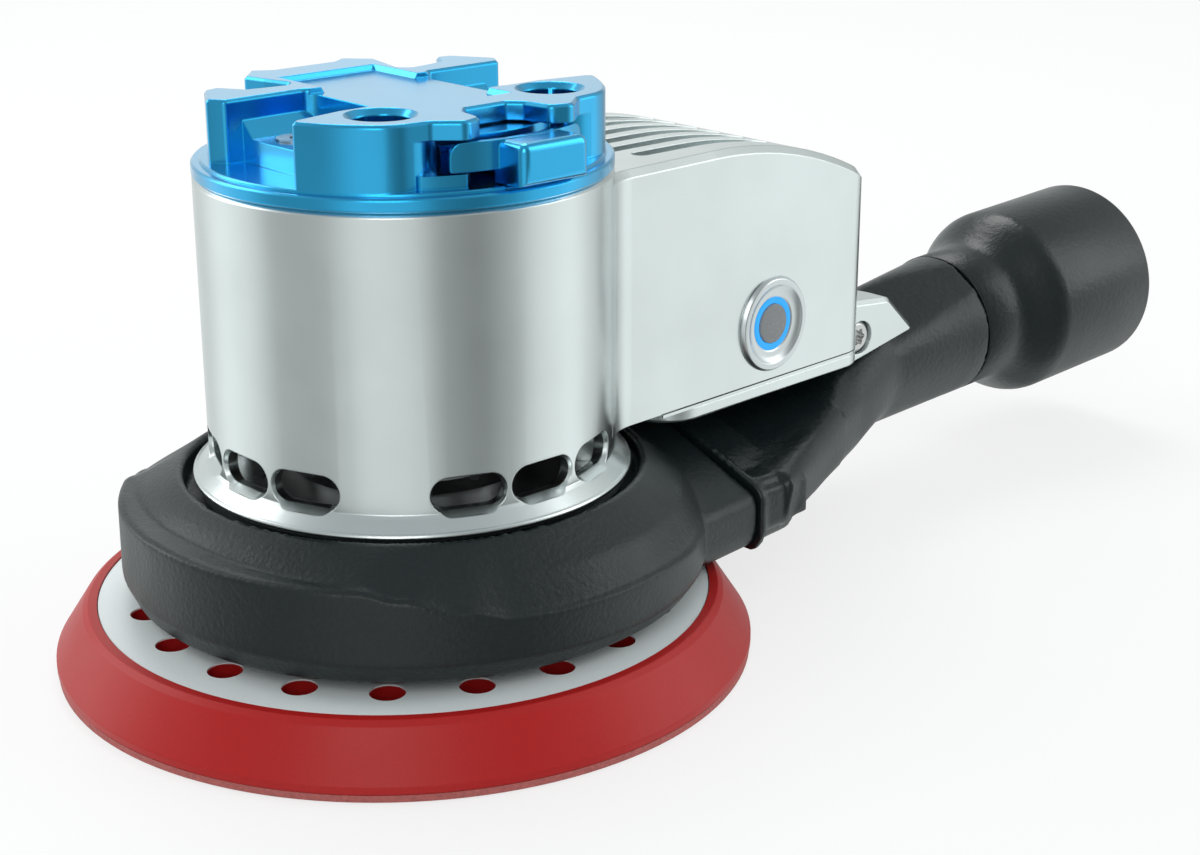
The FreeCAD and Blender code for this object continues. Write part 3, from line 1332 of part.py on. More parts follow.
def dust_shroud():
    flange_bottom = BODY_BOTTOM_Z - SHROUD_FLANGE_T
    before_seam = block(-FAR, STUB_END_X, -FAR, FAR, 0, FAR)
    outside = shroud_form(0).common(before_seam).fuse(channel(STUB_X0, STUB_END_X, 0))
    inside = shroud_form(SHROUD_WALL).common(block(-FAR, FAR, -FAR, FAR, 0, flange_bottom))
    below = disc(SHROUD_BOTTOM_R - SHROUD_WALL, 0, SHROUD_BOTTOM_Z + 0.5)
    passage = channel(STUB_X0 + 12, STUB_END_X + 1, DUCT_WALL)
    mouth = disc(SHROUD_MOUTH_R, BODY_BOTTOM_Z, FAR)
    bore = disc(SHROUD_FLANGE_BORE_R, 0, FAR)
    solid = outside.cut([inside, below, passage, mouth, bore])
    return solid.cut(around(shroud_screw(0.1), 4))


# Duct
def section_outline(x, half, floor, roof, power, slope, tilt=0.0):
    """Rounded section of the funnel: power 2 is an ellipse, more is squarer; the slope
    lowers the roof towards its sides."""
    middle = (floor + roof) / 2
    height = (roof - floor) / 2
    lean = math.tan(math.radians(tilt))
    fine = 720
    dense = []
    for i in range(fine + 1):
        angle = 2 * math.pi * i / fine
        c = math.cos(angle)
        s = math.sin(angle)
        y = half * math.copysign(abs(c) ** (2 / power), c)
        z = middle + height * math.copysign(abs(s) ** (2 / power), s)
        if s > 0:
            z -= slope * abs(y) * s
        dense.append(V(x - lean * (z - middle), y, z))
    lengths = [0.0]
    for i in range(fine):
        lengths.append(lengths[-1] + (dense[i + 1] - dense[i]).Length)
    count = 40
    points = []
    at = 0
    for i in range(count):
        target = lengths[-1] * i / count
        while lengths[at + 1] < target:
            at += 1
        points.append(dense[at])
    curve = Part.BSplineCurve()
    curve.interpolate(points, PeriodicFlag=True)
    return Part.Wire(curve.toShape())


def tube_centre(x):
    return SEAM_Z - (SEAM_X - x) * math.tan(math.radians(TUBE_TILT))


def funnel(inset):
    """Wide flat channel that narrows into the round outlet tube."""
    start = SOCKET_END_X - 4.0
    end = TUBE_START_X - 4.0
    centre = tube_centre(end)
    radius = TUBE_R - inset - 0.2
    taper = (FUNNEL_HALF_W - THROAT_HALF_W) / (THROAT_X - SOCKET_END_X)
    sections = []
    for x, lift, power, slope in ((start, 0.0, 4.6, 1.0), (SOCKET_END_X, 0.0, 4.6, 1.0),
                                  (SOCKET_END_X + 12, 0.08, 4.0, 0.85), (SOCKET_END_X + 25, 0.4, 3.4, 0.5),
                                  (THROAT_X - 1, 1.0, 3.0, 0.25)):
        half = FUNNEL_HALF_W - taper * (x - SOCKET_END_X)
        roof = FUNNEL_ROOF_Z + lift * (THROAT_TOP_Z - FUNNEL_ROOF_Z)
        sections.append(section_outline(x, half - inset, FUNNEL_BOTTOM_Z + inset, roof - inset,
                                        power, FUNNEL_ROOF_SLOPE * slope))
    sections.append(section_outline(end, radius, centre - radius, centre + radius, 2.0, 0.0, TUBE_TILT))
    return Part.makeLoft(sections, True, True)


def facet_cutters(inset):
    """Half-spaces above the two flat facets on the tube's shoulders."""
    cutters = []
    for sign in (-1, 1):
        turn = math.radians(FACET_TURN)
        normal = V(-FACET_LEAN, sign * math.sin(turn), math.cos(turn))
        normal.normalize()
        point = V(FACET_X, sign * FACET_Y, FACET_Z) - normal * inset
        wall = Part.makeBox(FAR, FAR, FAR / 3, V(-FAR / 2, -FAR / 2, 0))
        wall.Placement = FreeCAD.Placement(point, FreeCAD.Rotation(Z_AXIS, normal)).multiply(wall.Placement)
        cutters.append(wall)
    return cutters


def duct_boss(sign):
    """Boss on the duct's roof that a cheek's screw is driven into."""
    y1 = SADDLE_HALF_W - CHEEK_T - 0.1
    boss = Part.makeCylinder(DUCT_BOSS_R, y1 - DUCT_BOSS_R,
                             V(LUG_SCREW_X, DUCT_BOSS_R, LUG_SCREW_Z), Y_AXIS)
    web = block(LUG_SCREW_X - DUCT_BOSS_R, LUG_SCREW_X + DUCT_BOSS_R, DUCT_BOSS_R, y1,
                LUG_SCREW_Z - 2 * DUCT_BOSS_R, LUG_SCREW_Z)
    boss = boss.fuse(web)
    if sign < 0:
        boss = boss.mirror(V(0, 0, 0), Y_AXIS)
    return boss


def dust_duct():
    back = (SEAM_X - THROAT_X - 5) / math.cos(math.radians(TUBE_TILT))
    tube = on_tube(disc(TUBE_R, -back, 0)).cut(facet_cutters(0))
    bore = on_tube(disc(TUBE_R - TUBE_WALL, -back + TUBE_WALL, -SPIGOT_L)).cut(facet_cutters(DUCT_WALL))
    spigot_room = on_tube(disc(TUBE_R - TUBE_WALL, -SPIGOT_L - 0.6, 1))
    socket = channel(STUB_END_X + SOCKET_GAP, SOCKET_END_X, 0)
    rim = channel(STUB_END_X + SOCKET_GAP, STUB_END_X + SOCKET_GAP + COLLAR_RIM_T, -COLLAR_RIM)
    rim = rim.common(block(0, FAR, -FAR, FAR, STUB_BOTTOM_Z, FAR))
    tongue = channel(STUB_END_X - TONGUE_REACH, STUB_END_X + 2, DUCT_WALL + RUN_GAP)
    outside = funnel(0).multiFuse([tube, socket, rim, tongue, duct_boss(-1), duct_boss(1)])
    passage = channel(STUB_END_X - TONGUE_REACH - 1, SOCKET_END_X - 2, DUCT_WALL + RUN_GAP + 1.6)
    under_box = box_plan(0, -0.4, BOX_BOTTOM_Z - 0.4, FAR)
    cheek_room = []
    for sign in (-1, 1):
        y0 = min(sign * (SADDLE_HALF_W + 4), sign * (SADDLE_HALF_W - CHEEK_T - 0.05))
        cheek_room.append(side_prism(saddle_outline(SADDLE_GAP), y0, y0 + CHEEK_T + 4.05))
    cutters = [funnel(DUCT_WALL), bore, spigot_room, passage, under_box] + cheek_room
    return outside.cut(cutters + [lug_screw(sign, 0.05) for sign in (-1, 1)])


# Hose cuff and its seal
def hose_cuff():
    neck_bore = TUBE_R - TUBE_WALL - RUN_GAP - SPIGOT_WALL
    spigot_r = TUBE_R - TUBE_WALL - RUN_GAP
    shoulder_end = CUFF_NECK_L + CUFF_SHOULDER_L
    half_r = (TUBE_R + CUFF_R) / 2
    steps = [
        (neck_bore, -SPIGOT_L),
        (spigot_r, -SPIGOT_L),
        (spigot_r, -6.6),
        (spigot_r - 1.0, -6.6),
        (spigot_r - 1.0, -4.6),
        (spigot_r, -4.6),
        (spigot_r, SEAM_GAP),
        (TUBE_R, SEAM_GAP),
        (TUBE_R, CUFF_NECK_L - 2),
        ((TUBE_R + 0.55, CUFF_NECK_L + 0.4), (half_r, CUFF_NECK_L + 3.2)),
        ((CUFF_R - 0.75, shoulder_end - 4.6), (CUFF_R, shoulder_end)),
        (CUFF_R, CUFF_L - 0.5),
        (CUFF_R - 0.5, CUFF_L),
        (CUFF_R - CUFF_WALL + 0.5, CUFF_L),
        (CUFF_R - CUFF_WALL, CUFF_L - 0.5),
        (CUFF_R - CUFF_WALL, CUFF_STOP_L),
        (neck_bore + 1.5, CUFF_STOP_L),
        (neck_bore, CUFF_STOP_L - 9),
    ]
    return on_tube(turned(steps))


def spigot_seal():
    spigot_r = TUBE_R - TUBE_WALL - RUN_GAP
    torus = Part.makeTorus(spigot_r - 0.2, SEAL_R - 0.3, V(0, 0, -5.6))
    return on_tube(torus)


NODES = {
    "hook_face": hook_face,
    "pad_foam": pad_foam,
    "backing_plate": backing_plate,
    "pad_washer": pad_washer,
    "pad_screw": pad_screw,
    "pad_spindle": pad_spindle,
    "eccentric_head": eccentric_head,
    "bearing_circlip": bearing_circlip,
    "counterweight": counterweight,
    "counterweight_screws": counterweight_screws,
    "motor_shaft": motor_shaft,
    "rotor_core": rotor_core,
    "rotor_magnets": rotor_magnets,
    "cooling_fan": cooling_fan,
    "fan_spacer": fan_spacer,
    "stator_core": stator_core,
    "stator_windings": stator_windings,
    "bearing_wave_spring": bearing_wave_spring,
    "bearing_plate": bearing_plate,
    "housing": housing,
    "box_bottom_cover": box_bottom_cover,
    "box_gasket": box_gasket,
    "button_bezel": button_bezel,
    "button_light_ring": button_light_ring,
    "power_button": power_button,
    "button_body": button_body,
    "button_spring": button_spring,
    "connector_shell": connector_shell,
    "connector_insert": connector_insert,
    "connector_pins": connector_pins,
    "connector_nut": connector_nut,
    "control_board": control_board,
    "board_standoffs": board_standoffs,
    "capacitors": capacitors,
    "power_switches": power_switches,
    "quick_change_plate": quick_change_plate,
    "quick_change_screws": quick_change_screws,
    "release_button": release_button,
    "release_spring": release_spring,
    "dust_shroud": dust_shroud,
    "dust_duct": dust_duct,
    "hose_cuff": hose_cuff,
    "spigot_seal": spigot_seal,
}

RACES = {
    "pad_bearing_inner": inner_race(BEARING_BORE_R, PAD_BEARING_Z, RACE_TOP, -ORBIT),
    "pad_bearing_outer": outer_race(BEARING_BORE_R, PAD_BEARING_R, PAD_BEARING_Z, RACE_TOP, -ORBIT),
    "lower_bearing_inner": inner_race(SHAFT_R, LOWER_BEARING_Z, LOWER_BEARING_TOP),
    "lower_bearing_outer": outer_race(SHAFT_R, LOWER_BEARING_R, LOWER_BEARING_Z, LOWER_BEARING_TOP),
    "upper_bearing_inner": inner_race(SHAFT_R, UPPER_BEARING_Z, UPPER_BEARING_TOP),
    "upper_bearing_outer": outer_race(SHAFT_R, UPPER_BEARING_R, UPPER_BEARING_Z, UPPER_BEARING_TOP),
}

SCREWS = {
    "bearing_plate_screws": around(plate_screw(), 4, 45),
    "shroud_screws": around(shroud_screw(), 4),
    "cover_screws": [cover_screw(x, y) for x, y in cover_screw_places()],
    "lug_screws": [lug_screw(sign) for sign in (-1, 1)],
}

os.makedirs("parts", exist_ok=True)
for node, make in NODES.items():
    save(node, make())
for node, race in RACES.items():
    save(node, race)
for node, screws in SCREWS.items():
    save(node, Part.makeCompound(screws))
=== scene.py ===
import math

import bmesh
import bpy
from mathutils import Matrix, Vector


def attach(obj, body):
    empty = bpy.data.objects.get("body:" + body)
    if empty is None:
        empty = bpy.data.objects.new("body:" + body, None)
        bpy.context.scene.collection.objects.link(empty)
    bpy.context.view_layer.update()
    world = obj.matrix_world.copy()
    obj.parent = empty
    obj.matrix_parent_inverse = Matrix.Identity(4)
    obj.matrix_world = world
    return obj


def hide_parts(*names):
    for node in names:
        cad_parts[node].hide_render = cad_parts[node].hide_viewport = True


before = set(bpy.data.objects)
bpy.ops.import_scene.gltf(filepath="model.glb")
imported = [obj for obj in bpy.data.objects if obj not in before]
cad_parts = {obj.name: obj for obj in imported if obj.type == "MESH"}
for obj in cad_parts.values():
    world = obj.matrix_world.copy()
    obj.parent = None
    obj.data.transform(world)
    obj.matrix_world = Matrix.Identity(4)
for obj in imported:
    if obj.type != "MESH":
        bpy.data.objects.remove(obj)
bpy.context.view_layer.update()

bl_info = {
    "name": "Robotic Sander",
    "version": (1, 0, 0),
    "blender": (4, 5, 0),
    "location": "3D View > Sidebar > Sander",
    "description": "Builds a random-orbital sander for a robot wrist, with its finishes and studio",
    "category": "Object",
}

MM = 0.001

# Sizes shared with the CAD model, in millimetres
ORBIT = 2.5
SEAM = Vector((146.0, 0.0, 29.9))
TUBE_TILT = math.radians(3.0)
BODY_R = 35.85
BOX_END = 98.0
BOX_HALF = 26.4
BOX_TAPER = 5.1 / BOX_END
BOX_BLEND_R = 12.0
BOX_CORNER_R = 6.5
PLATE_TOP = 100.45
POCKET_FLOOR = 99.45
PLATE_FLOOR = 89.8
BOLT = 17.678
BOSS_R = 9.3
STRIP_R = 32.8
STRIP_HALF_ANGLE = math.radians(24.6)
HOLE_CIRCLE = 46.5
HOLE_COUNT = 20
FIRST_HOLE = -5.2
WALL_FOOT = 16.9
WALL_TOP = 34.4


# Geometry helpers, all in millimetres until the mesh is made
def corner_arcs(points, steps=5):
    """Outline whose points may carry a third value, the radius that rounds them."""
    out = []
    count = len(points)
    for i, point in enumerate(points):
        radius = point[2] if len(point) > 2 else 0.0
        here = Vector(point[:2])
        if radius <= 0:
            out.append(here)
            continue
        before = (Vector(points[i - 1][:2]) - here).normalized()
        after = (Vector(points[(i + 1) % count][:2]) - here).normalized()
        half = before.angle(after) / 2
        reach = radius / math.tan(half)
        centre = here + (before + after).normalized() * (radius / math.sin(half))
        start = here + before * reach - centre
        end = here + after * reach - centre
        sweep = start.angle_signed(end)
        for k in range(steps + 1):
            turn = -sweep * k / steps
            c = math.cos(turn)
            s = math.sin(turn)
            out.append(centre + Vector((start.x * c - start.y * s, start.x * s + start.y * c)))
    return out


def finish_mesh(bm, name, angle=35.0):
    """Turns a bmesh in millimetres into an object in metres with smooth faces."""
    bmesh.ops.remove_doubles(bm, verts=bm.verts, dist=1e-4)
    bmesh.ops.recalc_face_normals(bm, faces=bm.faces)
    bmesh.ops.scale(bm, vec=(MM, MM, MM), verts=bm.verts)
    mesh = bpy.data.meshes.new(name)
    bm.to_mesh(mesh)
    bm.free()
    mesh.shade_smooth()
    mesh.set_sharp_from_angle(angle=math.radians(angle))
    obj = bpy.data.objects.new(name, mesh)
    bpy.context.scene.collection.objects.link(obj)
    return obj


def lathe_mesh(profile, segments=144, x=0.0):
    """bmesh of a closed profile of (radius, height) turned about an upright axis at x."""
    bm = bmesh.new()
    verts = [bm.verts.new((x + p[0], 0, p[1])) for p in corner_arcs(profile)]
    edges = [bm.edges.new((verts[i], verts[(i + 1) % len(verts)])) for i in range(len(verts))]
    bmesh.ops.spin(bm, geom=verts + edges, cent=(x, 0, 0), axis=(0, 0, 1),
                   angle=2 * math.pi, steps=segments, use_merge=True)
    return bm


def prism_mesh(outline, z0, z1):
    """bmesh of an upright prism on an outline of (x, y)."""
    bm = bmesh.new()
    verts = [bm.verts.new((p[0], p[1], z0)) for p in corner_arcs(outline)]
    face = bm.faces.new(verts)
    out = bmesh.ops.extrude_face_region(bm, geom=[face])
    moved = [g for g in out["geom"] if isinstance(g, bmesh.types.BMVert)]
    bmesh.ops.translate(bm, vec=(0, 0, z1 - z0), verts=moved)
    return bm


def place(bm, matrix):
    bmesh.ops.transform(bm, matrix=matrix, verts=bm.verts)
    return bm


def tube_matrix():
    """Lays +Z onto the outlet's axis, with the seam at its origin."""
    return Matrix.Translation(SEAM) @ Matrix.Rotation(math.radians(90) - TUBE_TILT, 4, "Y")


def boolean(obj, cutter, operation="DIFFERENCE"):
    """Applies an exact boolean and removes the cutter."""
    mod = obj.modifiers.new("cut", "BOOLEAN")
    mod.operation = operation
    mod.solver = "EXACT"
    mod.object = cutter
    graph = bpy.context.evaluated_depsgraph_get()
    mesh = bpy.data.meshes.new_from_object(obj.evaluated_get(graph))
    obj.modifiers.clear()
    old = obj.data
    obj.data = mesh
    bpy.data.meshes.remove(old)
    bpy.data.objects.remove(cutter)
    obj.data.name = obj.name
    return obj


def soften(obj, width=0.35, segments=2, angle=35.0):
    """Rounds the sharp edges by a width in millimetres."""
    mod = obj.modifiers.new("edge_rounding", "BEVEL")
    mod.width = width * MM
    mod.segments = segments
    mod.limit_method = "ANGLE"
    mod.angle_limit = math.radians(angle)
    mod.harden_normals = True
    return flatter(obj)


def flatter(obj):
    """Weighs the normals by area, so that a large flat face beside a small arc stays flat."""
    mod = obj.modifiers.new("weighted_normals", "WEIGHTED_NORMAL")
    mod.keep_sharp = True
    mod.weight = 60
    return obj


def paint(obj, material):
    obj.data.materials.clear()
    obj.data.materials.append(material)
    return obj


def moulded_copy(node, name, voxel, passes, melt=None, backing=()):
    """Copy of a CAD node's form with its joins melted together as a mould leaves them. melt gives
    the X where the heavier melting starts and the passes that it takes, and backing the blocks
    that stand behind walls too thin for the voxels, on both sides of the middle."""
    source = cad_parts[node]
    bm = bmesh.new()
    bm.from_mesh(source.data)
    bmesh.ops.scale(bm, vec=(1 / MM, 1 / MM, 1 / MM), verts=bm.verts)
    for x0, x1, y0, y1, z0, z1 in backing:
        size = Matrix.Diagonal((x1 - x0, y1 - y0, z1 - z0, 1))
        for sign in (-1, 1):
            middle = Matrix.Translation(((x0 + x1) / 2, sign * (y0 + y1) / 2, (z0 + z1) / 2))
            bmesh.ops.create_cube(bm, size=1.0, matrix=middle @ size)
    obj = finish_mesh(bm, name)
    mesh_in = obj.modifiers.new("remesh", "REMESH")
    mesh_in.mode = "VOXEL"
    mesh_in.voxel_size = voxel * MM
    smooth = obj.modifiers.new("smooth", "SMOOTH")
    smooth.factor = 0.5
    smooth.iterations = passes
    graph = bpy.context.evaluated_depsgraph_get()
    mesh = bpy.data.meshes.new_from_object(obj.evaluated_get(graph))
    obj.modifiers.clear()
    obj.data = mesh
    if melt:
        bm = bmesh.new()
        bm.from_mesh(mesh)
        soft = [v for v in bm.verts if melt[0] * MM < v.co.x < 0.141 and abs(v.co.z - 0.03) < 0.05]
        for i in range(melt[1]):
            bmesh.ops.smooth_vert(bm, verts=soft, factor=0.5, use_axis_x=True, use_axis_y=True,
                                  use_axis_z=True)
        bm.to_mesh(mesh)
        bm.free()
    obj.data.name = name
    obj.data.shade_smooth()
    return obj


# Materials
def new_material(name):
    """New node material. Its name ends in _surface, which keeps it clear of plain materials of the same
    name.
    """
    name += "_surface"
    material = bpy.data.materials.get(name)
    if material:
        return material, None, None, None
    material = bpy.data.materials.new(name)
    material.use_nodes = True
    tree = material.node_tree
    shader = tree.nodes["Principled BSDF"]
    coords = tree.nodes.new("ShaderNodeTexCoord")
    return material, tree, shader, coords


def noise(tree, coords, scale, detail=3.0, roughness=0.5):
    node = tree.nodes.new("ShaderNodeTexNoise")
    node.inputs["Scale"].default_value = scale
    node.inputs["Detail"].default_value = detail
    node.inputs["Roughness"].default_value = roughness
    tree.links.new(coords.outputs["Object"], node.inputs["Vector"])
    return node.outputs["Fac"]


def spread(tree, value, low, high):
    """Maps a 0 to 1 value onto a narrow range."""
    node = tree.nodes.new("ShaderNodeMapRange")
    node.inputs["From Min"].default_value = 0.3
    node.inputs["From Max"].default_value = 0.7
    node.inputs["To Min"].default_value = low
    node.inputs["To Max"].default_value = high
    tree.links.new(value, node.inputs["Value"])
    return node.outputs["Result"]


def bump(tree, shader, height, distance, strength=1.0):
    node = tree.nodes.new("ShaderNodeBump")
    node.inputs["Distance"].default_value = distance
    node.inputs["Strength"].default_value = strength
    tree.links.new(height, node.inputs["Height"])
    tree.links.new(node.outputs["Normal"], shader.inputs["Normal"])
    return node


def tint(tree, shader, value, dark, light):
    """Base colour that wanders between two tones."""
    node = tree.nodes.new("ShaderNodeMix")
    node.data_type = "RGBA"
    node.inputs["A"].default_value = (*dark, 1)
    node.inputs["B"].default_value = (*light, 1)
    tree.links.new(value, node.inputs["Factor"])
    tree.links.new(node.outputs["Result"], shader.inputs["Base Color"])


def shade(colour, k):
    return tuple(min(1.0, c * k) for c in colour)


def metal(name, colour, roughness, grain=2600.0, depth=0.000004, wander=0.05, anisotropy=0.0, coat=0.0,
          edge=0.0):
    """Metal with a fine grain, such as a blasted, anodised or ground surface has. A coat is its
    clear skin, and edge the radius in metres that its corners catch the light at."""
    material, tree, shader, coords = new_material(name)
    if tree is None:
        return material
    shader.inputs["Metallic"].default_value = 1.0
    shader.inputs["Anisotropic"].default_value = anisotropy
    fine = noise(tree, coords, grain, 2.0)
    broad = noise(tree, coords, 45.0, 3.0)
    tint(tree, shader, spread(tree, broad, 0, 1), shade(colour, 0.94), shade(colour, 1.04))
    tree.links.new(spread(tree, broad, roughness - wander, roughness + wander), shader.inputs["Roughness"])
    grain_bump = bump(tree, shader, fine, depth)
    shader.inputs["Coat Weight"].default_value = coat
    shader.inputs["Coat Roughness"].default_value = 0.22
    if edge > 0:
        corner = tree.nodes.new("ShaderNodeBevel")
        corner.samples = 6
        corner.inputs["Radius"].default_value = edge
        tree.links.new(corner.outputs["Normal"], grain_bump.inputs["Normal"])
    return material


def moulding(name, colour, roughness, grain=1400.0, depth=0.00006, wander=0.06, mottle=0.15, specular=0.5):
    """Moulded plastic or rubber with a leathery texture."""
    material, tree, shader, coords = new_material(name)
    if tree is None:
        return material
    fine = noise(tree, coords, grain, 4.0, 0.55)
    broad = noise(tree, coords, 60.0, 2.0)
    tint(tree, shader, spread(tree, fine, 0, 1), shade(colour, 1 - mottle), shade(colour, 1 + mottle))
    tree.links.new(spread(tree, broad, roughness - wander, roughness + wander), shader.inputs["Roughness"])
    bump(tree, shader, fine, depth)
    shader.inputs["Specular IOR Level"].default_value = specular
    return material


def banded(name, dark, light, scale, direction, metallic=0.6, roughness=0.45):
    """Stacked sheets or wound wire: fine bands along one axis."""
    material, tree, shader, coords = new_material(name)
    if tree is None:
        return material
    wave = tree.nodes.new("ShaderNodeTexWave")
    wave.wave_type = "BANDS"
    wave.bands_direction = direction
    wave.inputs["Scale"].default_value = scale
    wave.inputs["Distortion"].default_value = 0.4
    tree.links.new(coords.outputs["Object"], wave.inputs["Vector"])
    tint(tree, shader, wave.outputs["Fac"], dark, light)
    shader.inputs["Metallic"].default_value = metallic
    shader.inputs["Roughness"].default_value = roughness
    bump(tree, shader, wave.outputs["Fac"], 0.00008)
    return material


def glowing(name, colour, strength):
    material, tree, shader, coords = new_material(name)
    if tree is None:
        return material
    haze = noise(tree, coords, 300.0, 2.0)
    tint(tree, shader, haze, shade(colour, 0.02), shade(colour, 0.05))
    shader.inputs["Emission Color"].default_value = (*colour, 1)
    shader.inputs["Emission Strength"].default_value = strength
    shader.inputs["Roughness"].default_value = 0.25
    return material


def board_finish():
    """Green lacquer over copper tracks."""
    material, tree, shader, coords = new_material("board_lacquer")
    if tree is None:
        return material
    brick = tree.nodes.new("ShaderNodeTexBrick")
    brick.inputs["Color1"].default_value = (0.01, 0.16, 0.06, 1)
    brick.inputs["Color2"].default_value = (0.015, 0.2, 0.08, 1)
    brick.inputs["Mortar"].default_value = (0.05, 0.32, 0.14, 1)
    brick.inputs["Scale"].default_value = 220.0
    brick.inputs["Mortar Size"].default_value = 0.04
    tree.links.new(coords.outputs["Object"], brick.inputs["Vector"])
    tree.links.new(brick.outputs["Color"], shader.inputs["Base Color"])
    shader.inputs["Roughness"].default_value = 0.3
    return material


def colours():
    return bpy.context.scene.sander_finish


def finish(slot):
    """The material of each kind of surface on the sander."""
    look = colours()
    makers = {
        "blasted_silver": lambda: metal("blasted_silver", look.silver, 0.25, 3200.0, 0.000003, 0.02,
                                        edge=0.0003),
        "cover_silver": lambda: metal("cover_silver", look.silver, 0.26, 3200.0, 0.000003, 0.02),
        "blue_anodised": lambda: metal("blue_anodised", look.blue, 0.19, 2600.0, 0.000002, 0.02, coat=0.6,
                                       edge=0.0004),
        "pad_red": lambda: moulding("red_polyurethane", look.pad_red, 0.4, 2200.0, 0.000006, 0.04, 0.05,
                                    0.3),
        "plate_white": lambda: moulding("pale_plate", look.plate_white, 0.38, 2600.0, 0.000002, 0.04, 0.03),
        "hook_fabric": lambda: moulding("hook_fabric", (0.46, 0.13, 0.12), 0.85, 1100.0, 0.0003),
        "shroud_black": lambda: moulding("shroud_texture", look.moulding, 0.38, 1200.0, 0.00012,
                                         specular=0.4),
        "duct_black": lambda: moulding("duct_texture", shade(look.moulding, 0.9), 0.32, 800.0, 0.00012,
                                       specular=0.4),
        "cuff_black": lambda: moulding("cuff_rubber", shade(look.moulding, 0.9), 0.3, 800.0, 0.0001,
                                       specular=0.4),
        "black_plastic": lambda: moulding("black_plastic", (0.018, 0.018, 0.02), 0.38, 1800.0, 0.00001),
        "seal_rubber": lambda: moulding("seal_rubber", (0.012, 0.012, 0.012), 0.7, 1500.0, 0.00002),
        "button_grey": lambda: moulding("button_grey", (0.22, 0.23, 0.24), 0.4, 2400.0, 0.000006),
        "ground_steel": lambda: metal("ground_steel", (0.58, 0.58, 0.58), 0.28, 2600.0, 0.000003,
                                      anisotropy=0.4),
        "bearing_steel": lambda: metal("bearing_steel", (0.66, 0.66, 0.67), 0.16, 1800.0, 0.000001, 0.03,
                                       anisotropy=0.3),
        "turned_alloy": lambda: metal("turned_alloy", (0.66, 0.67, 0.68), 0.3, 2200.0, 0.000003, 0.05, 0.5),
        "magnet_grey": lambda: metal("magnet_grey", (0.2, 0.2, 0.21), 0.45, 1500.0, 0.000005),
        "turned_bezel": lambda: metal("turned_bezel", (0.6, 0.63, 0.64), 0.3, 1800.0, 0.000001, 0.03),
        "gold_contact": lambda: metal("gold_contact", (0.85, 0.6, 0.22), 0.22),
        "laminations": lambda: banded("laminations", (0.16, 0.16, 0.17), (0.36, 0.36, 0.38), 900.0, "Z"),
        "copper_wire": lambda: banded("copper_wire", (0.3, 0.09, 0.03), (0.75, 0.32, 0.13), 420.0,
                                      "DIAGONAL", 0.9, 0.3),
        "blue_light": lambda: glowing("blue_light", (0.0, 0.38, 1.0), 1.0),
        "board_lacquer": board_finish,
    }
    return makers[slot]()


NODE_FINISH = {
    "housing": "blasted_silver", "box_bottom_cover": "blasted_silver", "box_gasket": "seal_rubber",
    "cover_screws": "ground_steel", "quick_change_plate": "blue_anodised",
    "quick_change_screws": "ground_steel", "release_button": "blue_anodised",
    "release_spring": "ground_steel", "button_bezel": "blasted_silver", "button_light_ring": "blue_light",
    "power_button": "button_grey", "button_body": "black_plastic", "button_spring": "ground_steel",
    "connector_shell": "black_plastic", "connector_insert": "black_plastic",
    "connector_pins": "gold_contact", "connector_nut": "ground_steel", "control_board": "board_lacquer",
    "board_standoffs": "ground_steel", "capacitors": "black_plastic", "power_switches": "black_plastic",
    "stator_core": "laminations", "stator_windings": "copper_wire", "lower_bearing_outer": "bearing_steel",
    "upper_bearing_outer": "bearing_steel", "lower_bearing_inner": "bearing_steel",
    "upper_bearing_inner": "bearing_steel", "pad_bearing_inner": "bearing_steel",
    "pad_bearing_outer": "bearing_steel", "bearing_wave_spring": "ground_steel",
    "bearing_plate": "turned_alloy", "bearing_plate_screws": "ground_steel",
    "dust_shroud": "shroud_black", "shroud_screws": "ground_steel", "dust_duct": "duct_black",
    "lug_screws": "ground_steel", "spigot_seal": "seal_rubber", "motor_shaft": "ground_steel",
    "rotor_core": "laminations", "rotor_magnets": "magnet_grey", "cooling_fan": "black_plastic",
    "fan_spacer": "ground_steel", "eccentric_head": "turned_alloy", "counterweight": "ground_steel",
    "counterweight_screws": "ground_steel", "bearing_circlip": "ground_steel",
    "pad_spindle": "ground_steel", "backing_plate": "plate_white", "pad_foam": "pad_red",
    "hook_face": "hook_fabric", "pad_screw": "ground_steel", "pad_washer": "ground_steel",
    "hose_cuff": "cuff_black",
}


# Pieces of the quick-change plate
TRUSS_FRONT = ((4.2, -22.2), (6.2, -24.4, 0.9), (7.2, -29.8, 1.8), (11.0, -31.2, 2.0), (15.4, -27.4, 2.0))
TRUSS_REAR = (
    (30.2, -12.2), (20.8, -10.4), (13.6, -10.4, 1.2), (11.7, -8.4, 0.9), (11.7, 8.2, 2.2), (13.4, 9.6, 1.2),
    (29.0, 9.5, 0.9), (30.9, 12.3, 0.9), (26.3, 20.0, 0.9), (23.4, 20.6, 0.9), (20.6, 15.9, 0.9),
    (13.2, 14.6, 1.4), (11.6, 16.4, 1.2), (13.0, 22.0, 1.2), (14.0, 26.6, 0.9), (9.8, 31.2, 0.9),
    (6.4, 29.0, 0.9),
)


def block_mesh(x0, x1, y0, y1, z0, z1):
    return prism_mesh([(x0, y0), (x1, y0), (x1, y1), (x0, y1)], z0, z1)


def cone_mesh(low_r, high_r, z0, z1, x=0.0, y=0.0, segments=96):
    bm = bmesh.new()
    bmesh.ops.create_cone(bm, cap_ends=True, segments=segments, radius1=low_r, radius2=high_r,
                          depth=z1 - z0)
    bmesh.ops.translate(bm, vec=(x, y, (z0 + z1) / 2), verts=bm.verts)
    return bm


def disc_mesh(radius, z0, z1, x=0.0, y=0.0, segments=96):
    return cone_mesh(radius, radius, z0, z1, x, y, segments)


